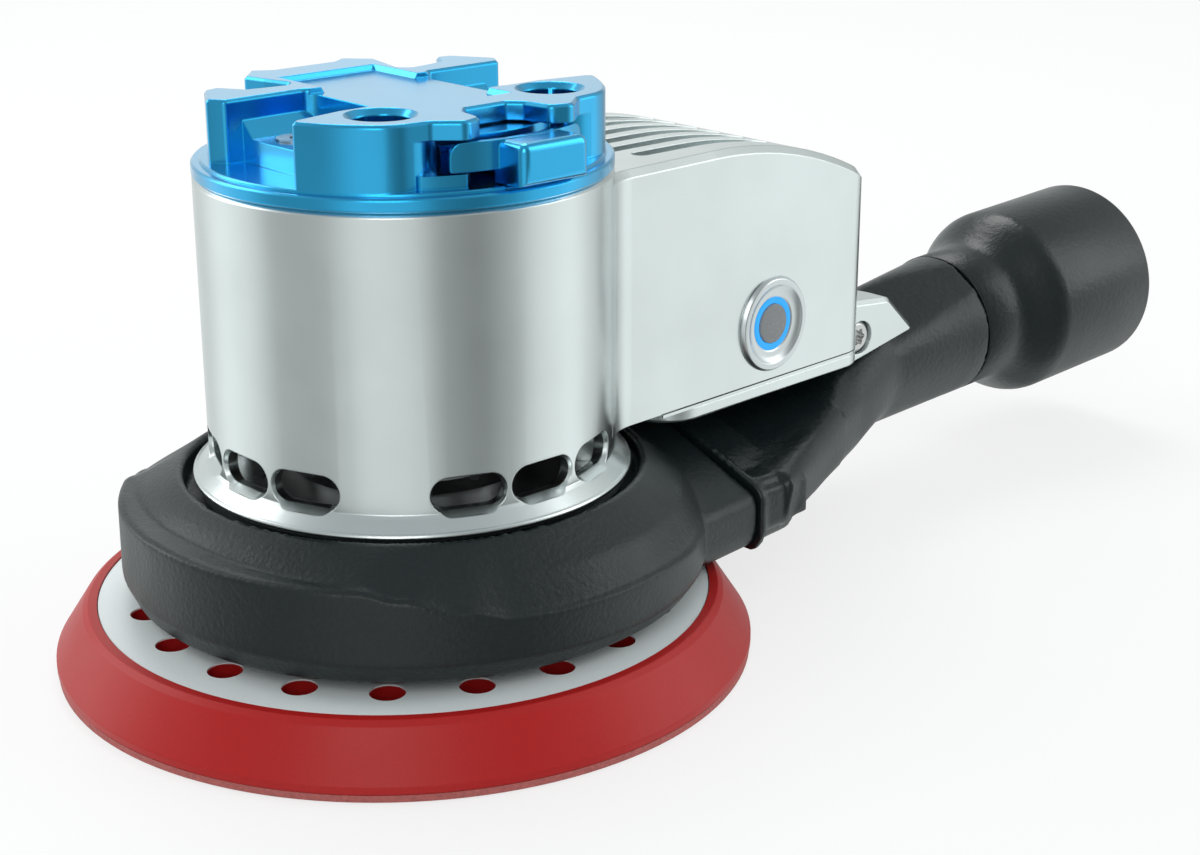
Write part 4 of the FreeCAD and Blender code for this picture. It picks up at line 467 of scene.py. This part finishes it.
def arc_points(radius, start, end, count):
    """Points on a circle about the motor axis, angles in degrees."""
    turns = [math.radians(start + (end - start) * i / count) for i in range(count + 1)]
    return [(radius * math.cos(t), radius * math.sin(t)) for t in turns]


def ring_sector(outer, inner, start, end, z0, z1):
    return prism_mesh(arc_points(outer, start, end, 24) + arc_points(inner, end, start, 24), z0, z1)


def cut(obj, bm, operation="DIFFERENCE"):
    return boolean(obj, finish_mesh(bm, "cutter"), operation)


def plate_piece():
    """Anodised plate: a stepped disc that carries the truss, its bolt bosses and its low webs."""
    boss = [(BOLT + x, y - BOLT) for x, y in arc_points(BOSS_R, -84, -48, 9)]
    boss += arc_points(34.3, -44.2, -22.7, 12)
    boss[-1] += (0.7,)
    right = [point if len(point) > 2 else (*point, 0.7) for point in TRUSS_FRONT]
    right += boss + [(*point, 0.7) for point in TRUSS_REAR]
    left = [(-point[0], *point[1:]) for point in reversed(right)]
    bm = prism_mesh(right + left, 88.2, PLATE_TOP)
    rim = [e for e in bm.edges if all(v.co.z > 100.4 for v in e.verts)]
    bmesh.ops.bevel(bm, geom=rim, offset=0.5, segments=1, profile=0.5, affect="EDGES", material=-1)
    truss = finish_mesh(bm, "truss")
    gap = finish_mesh(block_mesh(-18.5, 18.5, -60, -18.2, 80, 97.4), "gap")
    for x in (-BOLT, BOLT):
        cut(gap, disc_mesh(BOSS_R, 70, 110, x, -BOLT))
    boolean(truss, gap)
    plate = finish_mesh(lathe_mesh([
        (0, 87.0), (35.6, 87.0), (35.9, 87.3), (35.9, 88.95), (35.55, 89.3), (34.4, 89.3),
        (34.4, 89.55), (34.15, PLATE_FLOOR), (0, PLATE_FLOOR)], 180), "quick_change_plate_finish")
    boolean(plate, truss, "UNION")
    lip = arc_points(27.2, 239.0, 301.0, 32)
    cut(plate, prism_mesh(lip + [(14.0, -18.0), (-14.0, -18.0)], 95.5, 97.0), "UNION")
    cut(plate, ring_sector(32.8, 29.8, 237.0, 251.5, 89.0, 92.0), "UNION")
    for sign in (-1, 1):
        side = [(-9.0, 89.0), (9.8, 89.0), (9.8, 97.0), (6.6, 93.9), (-9.0, 93.9)]
        web = prism_mesh([(z, y) for y, z in side], 10.5, 25.8)
        stand = Matrix(((0, 0, sign, 0), (0, 1, 0, 0), (1, 0, 0, 0), (0, 0, 0, 1)))
        cut(plate, place(web, stand), "UNION")
    pocket = block_mesh(-9.6, 9.6, -16.0, 21.2, POCKET_FLOOR, 101.0)
    for vert in pocket.verts:
        if vert.co.z > 100:
            vert.co.x += math.copysign(1.0, vert.co.x)
            vert.co.y += math.copysign(1.0, vert.co.y)
    cut(plate, pocket)
    cut(plate, block_mesh(-14.6, 14.6, -10.6, 9.0, POCKET_FLOOR, 110))
    cut(plate, block_mesh(-11.0, 11.0, -60, -6.5, PLATE_FLOOR, 95.5))
    for x in (-BOLT, BOLT):
        cut(plate, disc_mesh(5.0, 92.45, 110, x, -BOLT))
        cut(plate, cone_mesh(4.9, 7.1, 99.35, 101.55, x, -BOLT))
    for x in (-20.0, 20.0):
        cut(plate, disc_mesh(3.6, 92.4, 110, x, 2.4))
        cut(plate, disc_mesh(2.1, 80, 110, x, 2.4))
    return plate


def box_outline(inset=0.0):
    """Plan of the control box with the blends that run into the round body."""
    slant = math.hypot(1, BOX_TAPER)
    normal = Vector((BOX_TAPER, 1)) / slant
    along = Vector((1, -BOX_TAPER)) / slant
    off = BOX_HALF / slant - inset
    radius = BOX_BLEND_R + inset
    body = BODY_R - inset
    blend = normal * (off + radius) + along * math.sqrt((body + radius) ** 2 - (off + radius) ** 2)
    root = blend * (body / (body + radius))
    start = root - blend
    sweep = start.angle_signed(-normal)
    half = [(8.0, root.y * 0.6), tuple(root)]
    for i in range(1, 21):
        turn = -sweep * i / 20
        c = math.cos(turn)
        d = math.sin(turn)
        half.append((blend.x + start.x * c - start.y * d, blend.y + start.x * d + start.y * c))
    end = BOX_END - inset
    half.append((end, (off - normal.x * end) / normal.y, BOX_CORNER_R - inset))
    return half + [(p[0], -p[1], *p[2:]) for p in reversed(half)]


def rim_piece():
    """Thin lip of the box cover over its gasket, and the web between the box and the round body."""
    lip = finish_mesh(prism_mesh(box_outline(), 38.62, 39.2), "box_rim_finish")
    cut(lip, prism_mesh(box_outline(0.36), 30, 50))
    cut(lip, block_mesh(0, 38.3, -40, 40, 30, 50))
    web = finish_mesh(prism_mesh(box_outline(-0.03), 39.42, 43.4), "web")
    cut(web, block_mesh(37.8, 120, -40, 40, 30, 50))
    cut(web, disc_mesh(35.7, 30, 60, segments=180))
    return joined([lip, web], "box_rim_finish")


def release_piece():
    """Rounded block on its guide stem, with the curved strip that it pushes."""
    bm = block_mesh(-5.7, 8.2, -38.2, -31.0, 90.0, 96.9)
    rim = [e for e in bm.edges if all(v.co.y < -38 for v in e.verts) or all(v.co.z > 96.8 for v in e.verts)]
    bmesh.ops.bevel(bm, geom=rim, offset=1.5, segments=6, profile=0.5, affect="EDGES", material=-1)
    block = finish_mesh(bm, "release_button_finish")
    reach = STRIP_HALF_ANGLE * STRIP_R
    strip = prism_mesh([(-reach, 92.3, 0.4), (reach, 92.3, 0.4), (reach, 97.0, 2.2), (-reach, 97.0, 2.2)],
                       -STRIP_R, -31.6)
    for i in range(1, 32):
        at = -reach + 2 * reach * i / 32
        bmesh.ops.bisect_plane(strip, geom=strip.verts[:] + strip.edges[:] + strip.faces[:],
                               plane_co=(at, 0, 0), plane_no=(1, 0, 0))
    for vert in strip.verts:
        turn = vert.co.x / STRIP_R
        radius = vert.co.z
        vert.co = Vector((-radius * math.sin(turn), radius * math.cos(turn), vert.co.y))
    cut(block, strip, "UNION")
    cut(block, block_mesh(-1.85, 4.15, -32.0, -20.0, 90.1, 94.1), "UNION")
    return block


# Pieces that the outlet tube ends in
def cuff_piece(segments):
    """Rubbery cuff: a neck that swells into the hose socket."""
    arc = []
    for i in range(13):
        t = i / 12
        ease = t * t * (3 - 2 * t)
        arc.append((15.35 + (20.9 - 15.35) * ease, 9.6 + 12.6 * t))
    profile = [(10.45, -11.0), (12.45, -11.0), (12.45, -6.6), (11.45, -6.6), (11.45, -4.6), (12.45, -4.6),
               (12.45, 0.3), (15.1, 0.3), (15.35, 0.6)]
    profile += arc
    profile += [(20.9, 52.4, 1.1), (18.6, 52.4, 0.7), (18.6, 25.0, 0.5),
                (11.95, 25.0), (10.45, 16.0)]
    bm = lathe_mesh(profile, segments)
    return finish_mesh(place(bm, tube_matrix()), "hose_cuff_finish", 40)


# Power button, made about Z with its face at z = 0
def face_matrix():
    """Lays +Z onto the outward direction of the control box's near face."""
    turn = math.atan(BOX_TAPER)
    x = 68.3
    at = Vector((x, -(BOX_HALF - x * BOX_TAPER), 50.3))
    outward = Matrix.Rotation(turn, 4, "Z") @ Matrix.Rotation(math.radians(90), 4, "X")
    return Matrix.Translation(at) @ outward


def on_face(profile, name, segments):
    return finish_mesh(place(lathe_mesh(profile, segments), face_matrix()), name, 40)


BEZEL_PROFILE = [
    (5.2, -2.5), (6.95, -2.5), (6.95, 0.05), (9.2, 0.05), (9.2, 0.3, 0.2), (8.75, 0.95, 0.4),
    (7.7, 1.0, 0.5), (7.35, 0.72, 0.3), (6.9, 0.45), (6.2, 0.26), (5.5, 0.24, 0.1), (5.2, 0.1),
]
LIGHT_PROFILE = [(3.95, -2.5), (5.15, -2.5), (5.15, 0.15, 0.12), (3.95, 0.15, 0.12)]
CAP_PROFILE = [(0, -2.4), (3.85, -2.4), (3.85, 0.4, 0.3), (0, 0.4)]


# Cheek screws of the saddle
def cheek_screw(sign):
    """Domed screw head with a six-lobe recess, its shank along Y."""
    profile = [(0, -7.0), (1.75, -7.0), (2.0, -6.7), (2.0, 0), (3.4, 0), (3.4, 0.75, 0.3),
               (2.7, 1.4, 0.7), (0, 1.4)]
    screw = finish_mesh(lathe_mesh(profile, 64), "cheek_screw")
    lobes = []
    for i in range(96):
        turn = 2 * math.pi * i / 96
        reach = 1.62 + 0.26 * math.cos(6 * turn)
        lobes.append((reach * math.cos(turn), reach * math.sin(turn)))
    cut(screw, prism_mesh(lobes, 0.35, 3.0))
    seat = 15.6 - 0.4 - 1.4
    turn = Matrix.Rotation(math.radians(-90 * sign), 4, "X")
    screw.data.transform(Matrix.Translation(Vector((102.3, sign * seat, 39.0)) * MM) @ turn)
    return screw


# Pad
def foam_piece(segments):
    """Moulded foam body of the pad, with the dust holes through it."""
    profile = [
        (18.3, 1.2), (62.2, 1.2), (62.5, 1.5), (62.5, 2.7, 0.6), (57.4, 10.5, 0.9), (56.4, 11.35, 0.5),
        (54.9, 11.4), (54.8, 11.2), (54.8, 9.2), (18.3, 9.2)]
    foam = finish_mesh(lathe_mesh(profile, segments, -ORBIT), "pad_foam_finish", 40)
    cutters = bmesh.new()
    for count, circle, radius in ((HOLE_COUNT, HOLE_CIRCLE, 3.0), (8, 30.0, 3.5)):
        for i in range(count):
            turn = math.radians(FIRST_HOLE + 360.0 * i / count)
            spot = Matrix.Translation((-ORBIT + circle * math.cos(turn), circle * math.sin(turn), 6.0))
            bmesh.ops.create_cone(cutters, cap_ends=True, segments=40, radius1=radius, radius2=radius,
                                  depth=14.0, matrix=spot)
    cut(foam, cutters)
    sleeves = [foam]
    for i in range(HOLE_COUNT):
        turn = math.radians(FIRST_HOLE + 360.0 / HOLE_COUNT * i)
        x = HOLE_CIRCLE * math.cos(turn) - ORBIT
        y = HOLE_CIRCLE * math.sin(turn)
        sleeve = lathe_mesh([(2.78, 9.0), (2.98, 9.0), (2.98, 10.95), (2.78, 10.95)], 40)
        sleeves.append(finish_mesh(place(sleeve, Matrix.Translation((x, y, 0))), "sleeve"))
    return joined(sleeves, "pad_foam_finish")


def dress(obj, body, finish_name, slot_name, *nodes):
    """Finishes a piece, lets it ride on its body and hides the CAD nodes that it stands for."""
    paint(obj, finish(finish_name))
    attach(obj, body)
    if nodes:
        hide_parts(*nodes)
    return obj


def joined(objects, name):
    """One object from several, their meshes already in place."""
    bm = bmesh.new()
    for obj in objects:
        bm.from_mesh(obj.data)
        bpy.data.objects.remove(obj)
    bmesh.ops.scale(bm, vec=(1 / MM, 1 / MM, 1 / MM), verts=bm.verts)
    return finish_mesh(bm, name)


class SanderFinish(bpy.types.PropertyGroup):
    """Colours that a user would change."""
    silver: bpy.props.FloatVectorProperty(
        name="Silver", description="Blasted housing and its cover", subtype="COLOR",
        size=3, min=0, max=1, default=(0.66, 0.705, 0.705))
    blue: bpy.props.FloatVectorProperty(
        name="Blue", description="Anodised quick-change plate", subtype="COLOR",
        size=3, min=0, max=1, default=(0.02, 0.4, 0.74))
    pad_red: bpy.props.FloatVectorProperty(
        name="Pad red", description="Foam body of the pad", subtype="COLOR",
        size=3, min=0, max=1, default=(0.45, 0.012, 0.012))
    plate_white: bpy.props.FloatVectorProperty(
        name="Plate white", description="Backing plate of the pad", subtype="COLOR",
        size=3, min=0, max=1, default=(0.9, 0.95, 0.96))
    moulding: bpy.props.FloatVectorProperty(
        name="Moulding", description="Dust shroud, duct and cuff", subtype="COLOR",
        size=3, min=0, max=1, default=(0.0065, 0.0118, 0.0128))


class SanderDetail(bpy.types.PropertyGroup):
    """Fineness of the pieces."""
    segments: bpy.props.IntProperty(
        name="Segments", description="Faces around a turned piece", default=160, min=24, max=360)
    edge: bpy.props.FloatProperty(
        name="Edge rounding", description="Width of a machined edge", subtype="DISTANCE",
        unit="LENGTH", default=0.0004, min=0.0, max=0.002)
    mould_voxel: bpy.props.FloatProperty(
        name="Mould detail", description="Smallest detail of the moulded pieces", subtype="DISTANCE",
        unit="LENGTH", default=0.00065, min=0.0004, max=0.003)


class SANDER_OT_finishes(bpy.types.Operator):
    """Gives every carried-over CAD piece its procedural finish"""
    bl_idname = "sander.finishes"
    bl_label = "Finishes"

    def execute(self, context):
        for node, slot in NODE_FINISH.items():
            paint(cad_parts[node], finish(slot))
        return {"FINISHED"}


class SANDER_OT_rim(bpy.types.Operator):
    """Lip of the box cover and the web at its root"""
    bl_idname = "sander.rim"
    bl_label = "Box rim"

    def execute(self, context):
        dress(flatter(rim_piece()), "body", "cover_silver", "silver_casting")
        return {"FINISHED"}


class SANDER_OT_plate(bpy.types.Operator):
    """Quick-change plate with rounded edges and chamfered bolt holes"""
    bl_idname = "sander.plate"
    bl_label = "Quick-change plate"

    def execute(self, context):
        edge = context.scene.sander_detail.edge / MM
        plate = soften(plate_piece(), edge, 2, 32)
        dress(plate, "body", "blue_anodised", "blue_plate", "quick_change_plate")
        return {"FINISHED"}


class SANDER_OT_release(bpy.types.Operator):
    """Release button"""
    bl_idname = "sander.release"
    bl_label = "Release button"

    def execute(self, context):
        block = soften(release_piece(), 0.2, 2, 40)
        dress(block, "release_button", "blue_anodised", "blue_plate", "release_button")
        return {"FINISHED"}


class SANDER_OT_button(bpy.types.Operator):
    """Power button with its bezel and light"""
    bl_idname = "sander.button"
    bl_label = "Power button"

    def execute(self, context):
        count = context.scene.sander_detail.segments
        bezel = on_face(BEZEL_PROFILE, "button_bezel_finish", count)
        dress(bezel, "body", "turned_bezel", "silver_casting", "button_bezel")
        light = on_face(LIGHT_PROFILE, "button_light_finish", count)
        dress(light, "body", "blue_light", "blue_light", "button_light_ring")
        cap = on_face(CAP_PROFILE, "power_button_finish", count)
        dress(cap, "power_button", "button_grey", "button_grey", "power_button")
        return {"FINISHED"}


# Height of the shroud's crease by the angle from its front, in degrees and millimetres
CREASE = ((0, 30.0), (42, 29.6), (50, 28.2), (61, 26.0), (71, 24.1), (80, 23.8), (100, 23.8), (125, 22.6),
          (180, 20.2))


def crease_height(turn):
    for (a, low), (b, high) in zip(CREASE, CREASE[1:]):
        if turn <= b:
            share = (turn - a) / (b - a)
            share = share * share * (3 - 2 * share)
            return low + (high - low) * share
    return CREASE[-1][1]


def follow_crease(obj):
    """Moves the wall of the shroud up or down so that its crease dips in the wave of the moulding."""
    for vert in obj.data.vertices:
        x, y, z = (c / MM for c in vert.co)
        radius = math.hypot(x, y)
        if radius < 30 or not WALL_FOOT < z < WALL_TOP:
            continue
        turn = abs(math.degrees(math.atan2(y, -x)))
        share = min(1.0, max(0.0, (132.0 - turn) / 14.0)) * min(1.0, (radius - 30) / 8.0)
        old = 25.8 + 0.108 * radius * math.cos(math.radians(turn))
        new = crease_height(turn)
        old_steps = (WALL_FOOT, old, old + 2.3, WALL_TOP)
        new_steps = (WALL_FOOT, new, new + 0.7, WALL_TOP)
        for i in range(3):
            if z <= old_steps[i + 1]:
                part = (z - old_steps[i]) / (old_steps[i + 1] - old_steps[i])
                moved = new_steps[i] + (new_steps[i + 1] - new_steps[i]) * part
                break
        vert.co.z = (z + (moved - z) * share) * MM


# Blocks behind and round the thin corner where the duct's collar meets its body
DUCT_BACKING = (
    (58.7, 62.6, 24.0, 35.8, 22.5, 25.5), (60.0, 68.0, 24.0, 33.0, 23.0, 25.9),
    (58.7, 64.4, 33.0, 36.5, 17.0, 24.0), (53.5, 59.5, 33.0, 36.9, 16.5, 24.4),
    (53.5, 59.5, 24.0, 35.0, 22.0, 25.9),
)


class SANDER_OT_mouldings(bpy.types.Operator):
    """Dust shroud and duct, with the soft corners of a moulding"""
    bl_idname = "sander.mouldings"
    bl_label = "Shroud and duct"

    def execute(self, context):
        voxel = context.scene.sander_detail.mould_voxel / MM
        shroud = moulded_copy("dust_shroud", "dust_shroud_finish", voxel, 1)
        follow_crease(shroud)
        dress(shroud, "body", "shroud_black", "shroud_plastic", "dust_shroud")
        duct = moulded_copy("dust_duct", "dust_duct_finish", voxel, 2, (88.0, 24), DUCT_BACKING)
        dress(duct, "body", "duct_black", "duct_plastic", "dust_duct")
        return {"FINISHED"}


class SANDER_OT_cuff(bpy.types.Operator):
    """Swivelling hose cuff"""
    bl_idname = "sander.cuff"
    bl_label = "Hose cuff"

    def execute(self, context):
        cuff = cuff_piece(context.scene.sander_detail.segments)
        dress(cuff, "hose_cuff", "cuff_black", "cuff_rubber", "hose_cuff")
        return {"FINISHED"}


class SANDER_OT_screws(bpy.types.Operator):
    """Six-lobe screws of the saddle"""
    bl_idname = "sander.screws"
    bl_label = "Cheek screws"

    def execute(self, context):
        screws = joined([cheek_screw(-1), cheek_screw(1)], "cheek_screws_finish")
        dress(screws, "body", "ground_steel", "steel", "lug_screws")
        return {"FINISHED"}


class SANDER_OT_pad(bpy.types.Operator):
    """Foam body of the pad"""
    bl_idname = "sander.pad"
    bl_label = "Pad foam"

    def execute(self, context):
        foam = soften(foam_piece(context.scene.sander_detail.segments), 0.15, 2, 50)
        dress(foam, "pad", "pad_red", "pad_foam", "pad_foam")
        return {"FINISHED"}


# Name, place, target, size and energy of each lamp, in metres and watts
LAMPS = (
    ("key_lamp", (-0.8, -0.72, 0.75), (0, 0, 0.05), (0.5, 0.9), 3.0),
    ("back_lamp", (-0.5, 0.95, 0.6), (0, 0, 0.05), (0.5, 0.9), 3.0),
    ("side_lamp", (0.85, -0.62, 0.55), (0.05, 0, 0.05), (0.5, 0.9), 2.0),
    ("top_lamp", (0.4, 0.55, 1.05), (0.05, 0, 0.0), (0.6, 0.6), 5.0),
)


def area_lamp(name, place_at, target, size, energy):
    light = bpy.data.lights.new(name, "AREA")
    light.shape = "RECTANGLE"
    light.size = size[0]
    light.size_y = size[1]
    light.energy = energy
    lamp = bpy.data.objects.new(name, light)
    bpy.context.scene.collection.objects.link(lamp)
    lamp.location = place_at
    lamp.rotation_euler = (Vector(target) - Vector(place_at)).to_track_quat("-Z", "Y").to_euler()
    return lamp


# Brightness of the studio by the share of a full turn from +X
STUDIO_BANDS = (
    (0.006, 0.7), (0.05, 0.48), (0.1, 0.65), (0.147, 0.98), (0.242, 0.8), (0.319, 1.2), (0.381, 1.0),
    (0.444, 0.5), (0.517, 0.5), (0.581, 0.95), (0.647, 0.9), (0.706, 0.4), (0.753, 0.3), (0.803, 0.5),
    (0.858, 1.0), (0.922, 1.2), (0.994, 0.78),
)


def studio_world():
    """Pale studio whose brightness changes softly with the compass direction, as between softboxes."""
    world = bpy.data.worlds.new("studio")
    bpy.context.scene.world = world
    world.use_nodes = True
    tree = world.node_tree
    background = tree.nodes["Background"]
    coords = tree.nodes.new("ShaderNodeTexCoord")
    split = tree.nodes.new("ShaderNodeSeparateXYZ")
    tree.links.new(coords.outputs["Generated"], split.inputs["Vector"])
    turn = tree.nodes.new("ShaderNodeMath")
    turn.operation = "ARCTAN2"
    tree.links.new(split.outputs["Y"], turn.inputs[0])
    tree.links.new(split.outputs["X"], turn.inputs[1])
    share = tree.nodes.new("ShaderNodeMath")
    share.operation = "MULTIPLY"
    share.inputs[1].default_value = 1 / (2 * math.pi)
    tree.links.new(turn.outputs["Value"], share.inputs[0])
    wrap = tree.nodes.new("ShaderNodeMath")
    wrap.operation = "FRACT"
    tree.links.new(share.outputs["Value"], wrap.inputs[0])
    bands = tree.nodes.new("ShaderNodeValToRGB")
    bands.color_ramp.interpolation = "EASE"
    stops = bands.color_ramp.elements
    while len(stops) < len(STUDIO_BANDS):
        stops.new(0.5)
    for stop, (place_at, level) in zip(stops, STUDIO_BANDS):
        stop.position = place_at
        stop.color = (level * 0.95, level, level * 0.99, 1)
    tree.links.new(wrap.outputs["Value"], bands.inputs["Fac"])
    high = tree.nodes.new("ShaderNodeMapRange")
    high.inputs["From Min"].default_value = 0.5
    high.inputs["From Max"].default_value = 0.95
    tree.links.new(split.outputs["Z"], high.inputs["Value"])
    sky = tree.nodes.new("ShaderNodeMix")
    sky.data_type = "RGBA"
    sky.inputs["B"].default_value = (0.5, 0.53, 0.54, 1)
    tree.links.new(high.outputs["Result"], sky.inputs["Factor"])
    tree.links.new(bands.outputs["Color"], sky.inputs["A"])
    seen = tree.nodes.new("ShaderNodeLightPath")
    mix = tree.nodes.new("ShaderNodeMix")
    mix.data_type = "RGBA"
    mix.inputs["B"].default_value = (1, 1, 1, 1)
    tree.links.new(sky.outputs["Result"], mix.inputs["A"])
    tree.links.new(seen.outputs["Is Camera Ray"], mix.inputs["Factor"])
    tree.links.new(mix.outputs["Result"], background.inputs["Color"])
    shown = tree.nodes.new("ShaderNodeMath")
    shown.operation = "MAXIMUM"
    tree.links.new(seen.outputs["Is Camera Ray"], shown.inputs[0])
    tree.links.new(seen.outputs["Is Glossy Ray"], shown.inputs[1])
    strength = tree.nodes.new("ShaderNodeMapRange")
    strength.inputs["To Min"].default_value = 0.9
    strength.inputs["To Max"].default_value = 1.0
    tree.links.new(shown.outputs["Value"], strength.inputs["Value"])
    tree.links.new(strength.outputs["Result"], background.inputs["Strength"])


def stage_floor():
    """Plain pale floor that the pad stands on."""
    bm = bmesh.new()
    bmesh.ops.create_grid(bm, x_segments=2, y_segments=2, size=3000.0)
    bmesh.ops.translate(bm, vec=(0, 0, -0.3), verts=bm.verts)
    floor = finish_mesh(bm, "stage_floor")
    material, tree, shader, coords = new_material("pale_floor")
    faint = noise(tree, coords, 3.0, 2.0)
    tint(tree, shader, faint, (0.88, 0.88, 0.88), (0.9, 0.9, 0.9))
    shader.inputs["Roughness"].default_value = 0.6
    seen = tree.nodes.new("ShaderNodeLightPath")
    glow = tree.nodes.new("ShaderNodeEmission")
    glow.inputs["Color"].default_value = (1, 1, 1, 1)
    mix = tree.nodes.new("ShaderNodeMixShader")
    part = tree.nodes.new("ShaderNodeMath")
    part.operation = "MULTIPLY"
    part.inputs[1].default_value = 0.75
    out = tree.nodes["Material Output"]
    tree.links.new(seen.outputs["Is Camera Ray"], part.inputs[0])
    tree.links.new(part.outputs["Value"], mix.inputs["Fac"])
    tree.links.new(shader.outputs["BSDF"], mix.inputs[1])
    tree.links.new(glow.outputs["Emission"], mix.inputs[2])
    clear = tree.nodes.new("ShaderNodeBsdfTransparent")
    mirror = tree.nodes.new("ShaderNodeMixShader")
    tree.links.new(seen.outputs["Is Glossy Ray"], mirror.inputs["Fac"])
    tree.links.new(mix.outputs["Shader"], mirror.inputs[1])
    tree.links.new(clear.outputs["BSDF"], mirror.inputs[2])
    tree.links.new(mirror.outputs["Shader"], out.inputs["Surface"])
    paint(floor, material)


def camera():
    """Camera at the photograph's viewing angle."""
    data = bpy.data.cameras.new("view")
    data.lens = 63.98
    data.sensor_width = 36.0
    data.clip_start = 0.01
    data.clip_end = 20.0
    cam = bpy.data.objects.new("view", data)
    bpy.context.scene.collection.objects.link(cam)
    right = Vector((0.73924788, -0.67343213, -0.00132078))
    up = Vector((0.22144166, 0.24123041, 0.94486585))
    back = right.cross(up)
    turn = Matrix((right, up, back)).transposed().to_4x4()
    cam.matrix_world = Matrix.Translation((-0.21661648, -0.28745978, 0.16379704)) @ turn
    bpy.context.scene.camera = cam


class SANDER_OT_stage(bpy.types.Operator):
    """Floor, lamps, world and camera"""
    bl_idname = "sander.stage"
    bl_label = "Stage"

    def execute(self, context):
        context.scene.view_settings.view_transform = "Standard"
        stage_floor()
        studio_world()
        camera()
        for lamp in LAMPS:
            area_lamp(*lamp)
        return {"FINISHED"}


class SANDER_PT_panel(bpy.types.Panel):
    """Lists the sander's pieces in the sidebar"""
    bl_idname = "SANDER_PT_panel"
    bl_label = "Robotic Sander"
    bl_space_type = "VIEW_3D"
    bl_region_type = "UI"
    bl_category = "Sander"

    def draw(self, context):
        column = self.layout.column()
        for group in (context.scene.sander_finish, context.scene.sander_detail):
            for name in group.__annotations__:
                column.prop(group, name)
        for operator in OPERATORS:
            column.operator(operator.bl_idname)


OPERATORS = (
    SANDER_OT_finishes,
    SANDER_OT_rim,
    SANDER_OT_plate,
    SANDER_OT_release,
    SANDER_OT_button,
    SANDER_OT_mouldings,
    SANDER_OT_cuff,
    SANDER_OT_screws,
    SANDER_OT_pad,
    SANDER_OT_stage,
)
CLASSES = (SanderFinish, SanderDetail) + OPERATORS + (SANDER_PT_panel,)


def register():
    for cls in CLASSES:
        bpy.utils.register_class(cls)
    bpy.types.Scene.sander_finish = bpy.props.PointerProperty(type=SanderFinish)
    bpy.types.Scene.sander_detail = bpy.props.PointerProperty(type=SanderDetail)


def unregister():
    del bpy.types.Scene.sander_detail
    del bpy.types.Scene.sander_finish
    for cls in reversed(CLASSES):
        bpy.utils.unregister_class(cls)


def main():
    register()
    bpy.ops.sander.finishes()
    bpy.ops.sander.rim()
    bpy.ops.sander.plate()
    bpy.ops.sander.release()
    bpy.ops.sander.button()
    bpy.ops.sander.mouldings()
    bpy.ops.sander.cuff()
    bpy.ops.sander.screws()
    bpy.ops.sander.pad()
    bpy.ops.sander.stage()


if __name__ == "__main__":
    main()
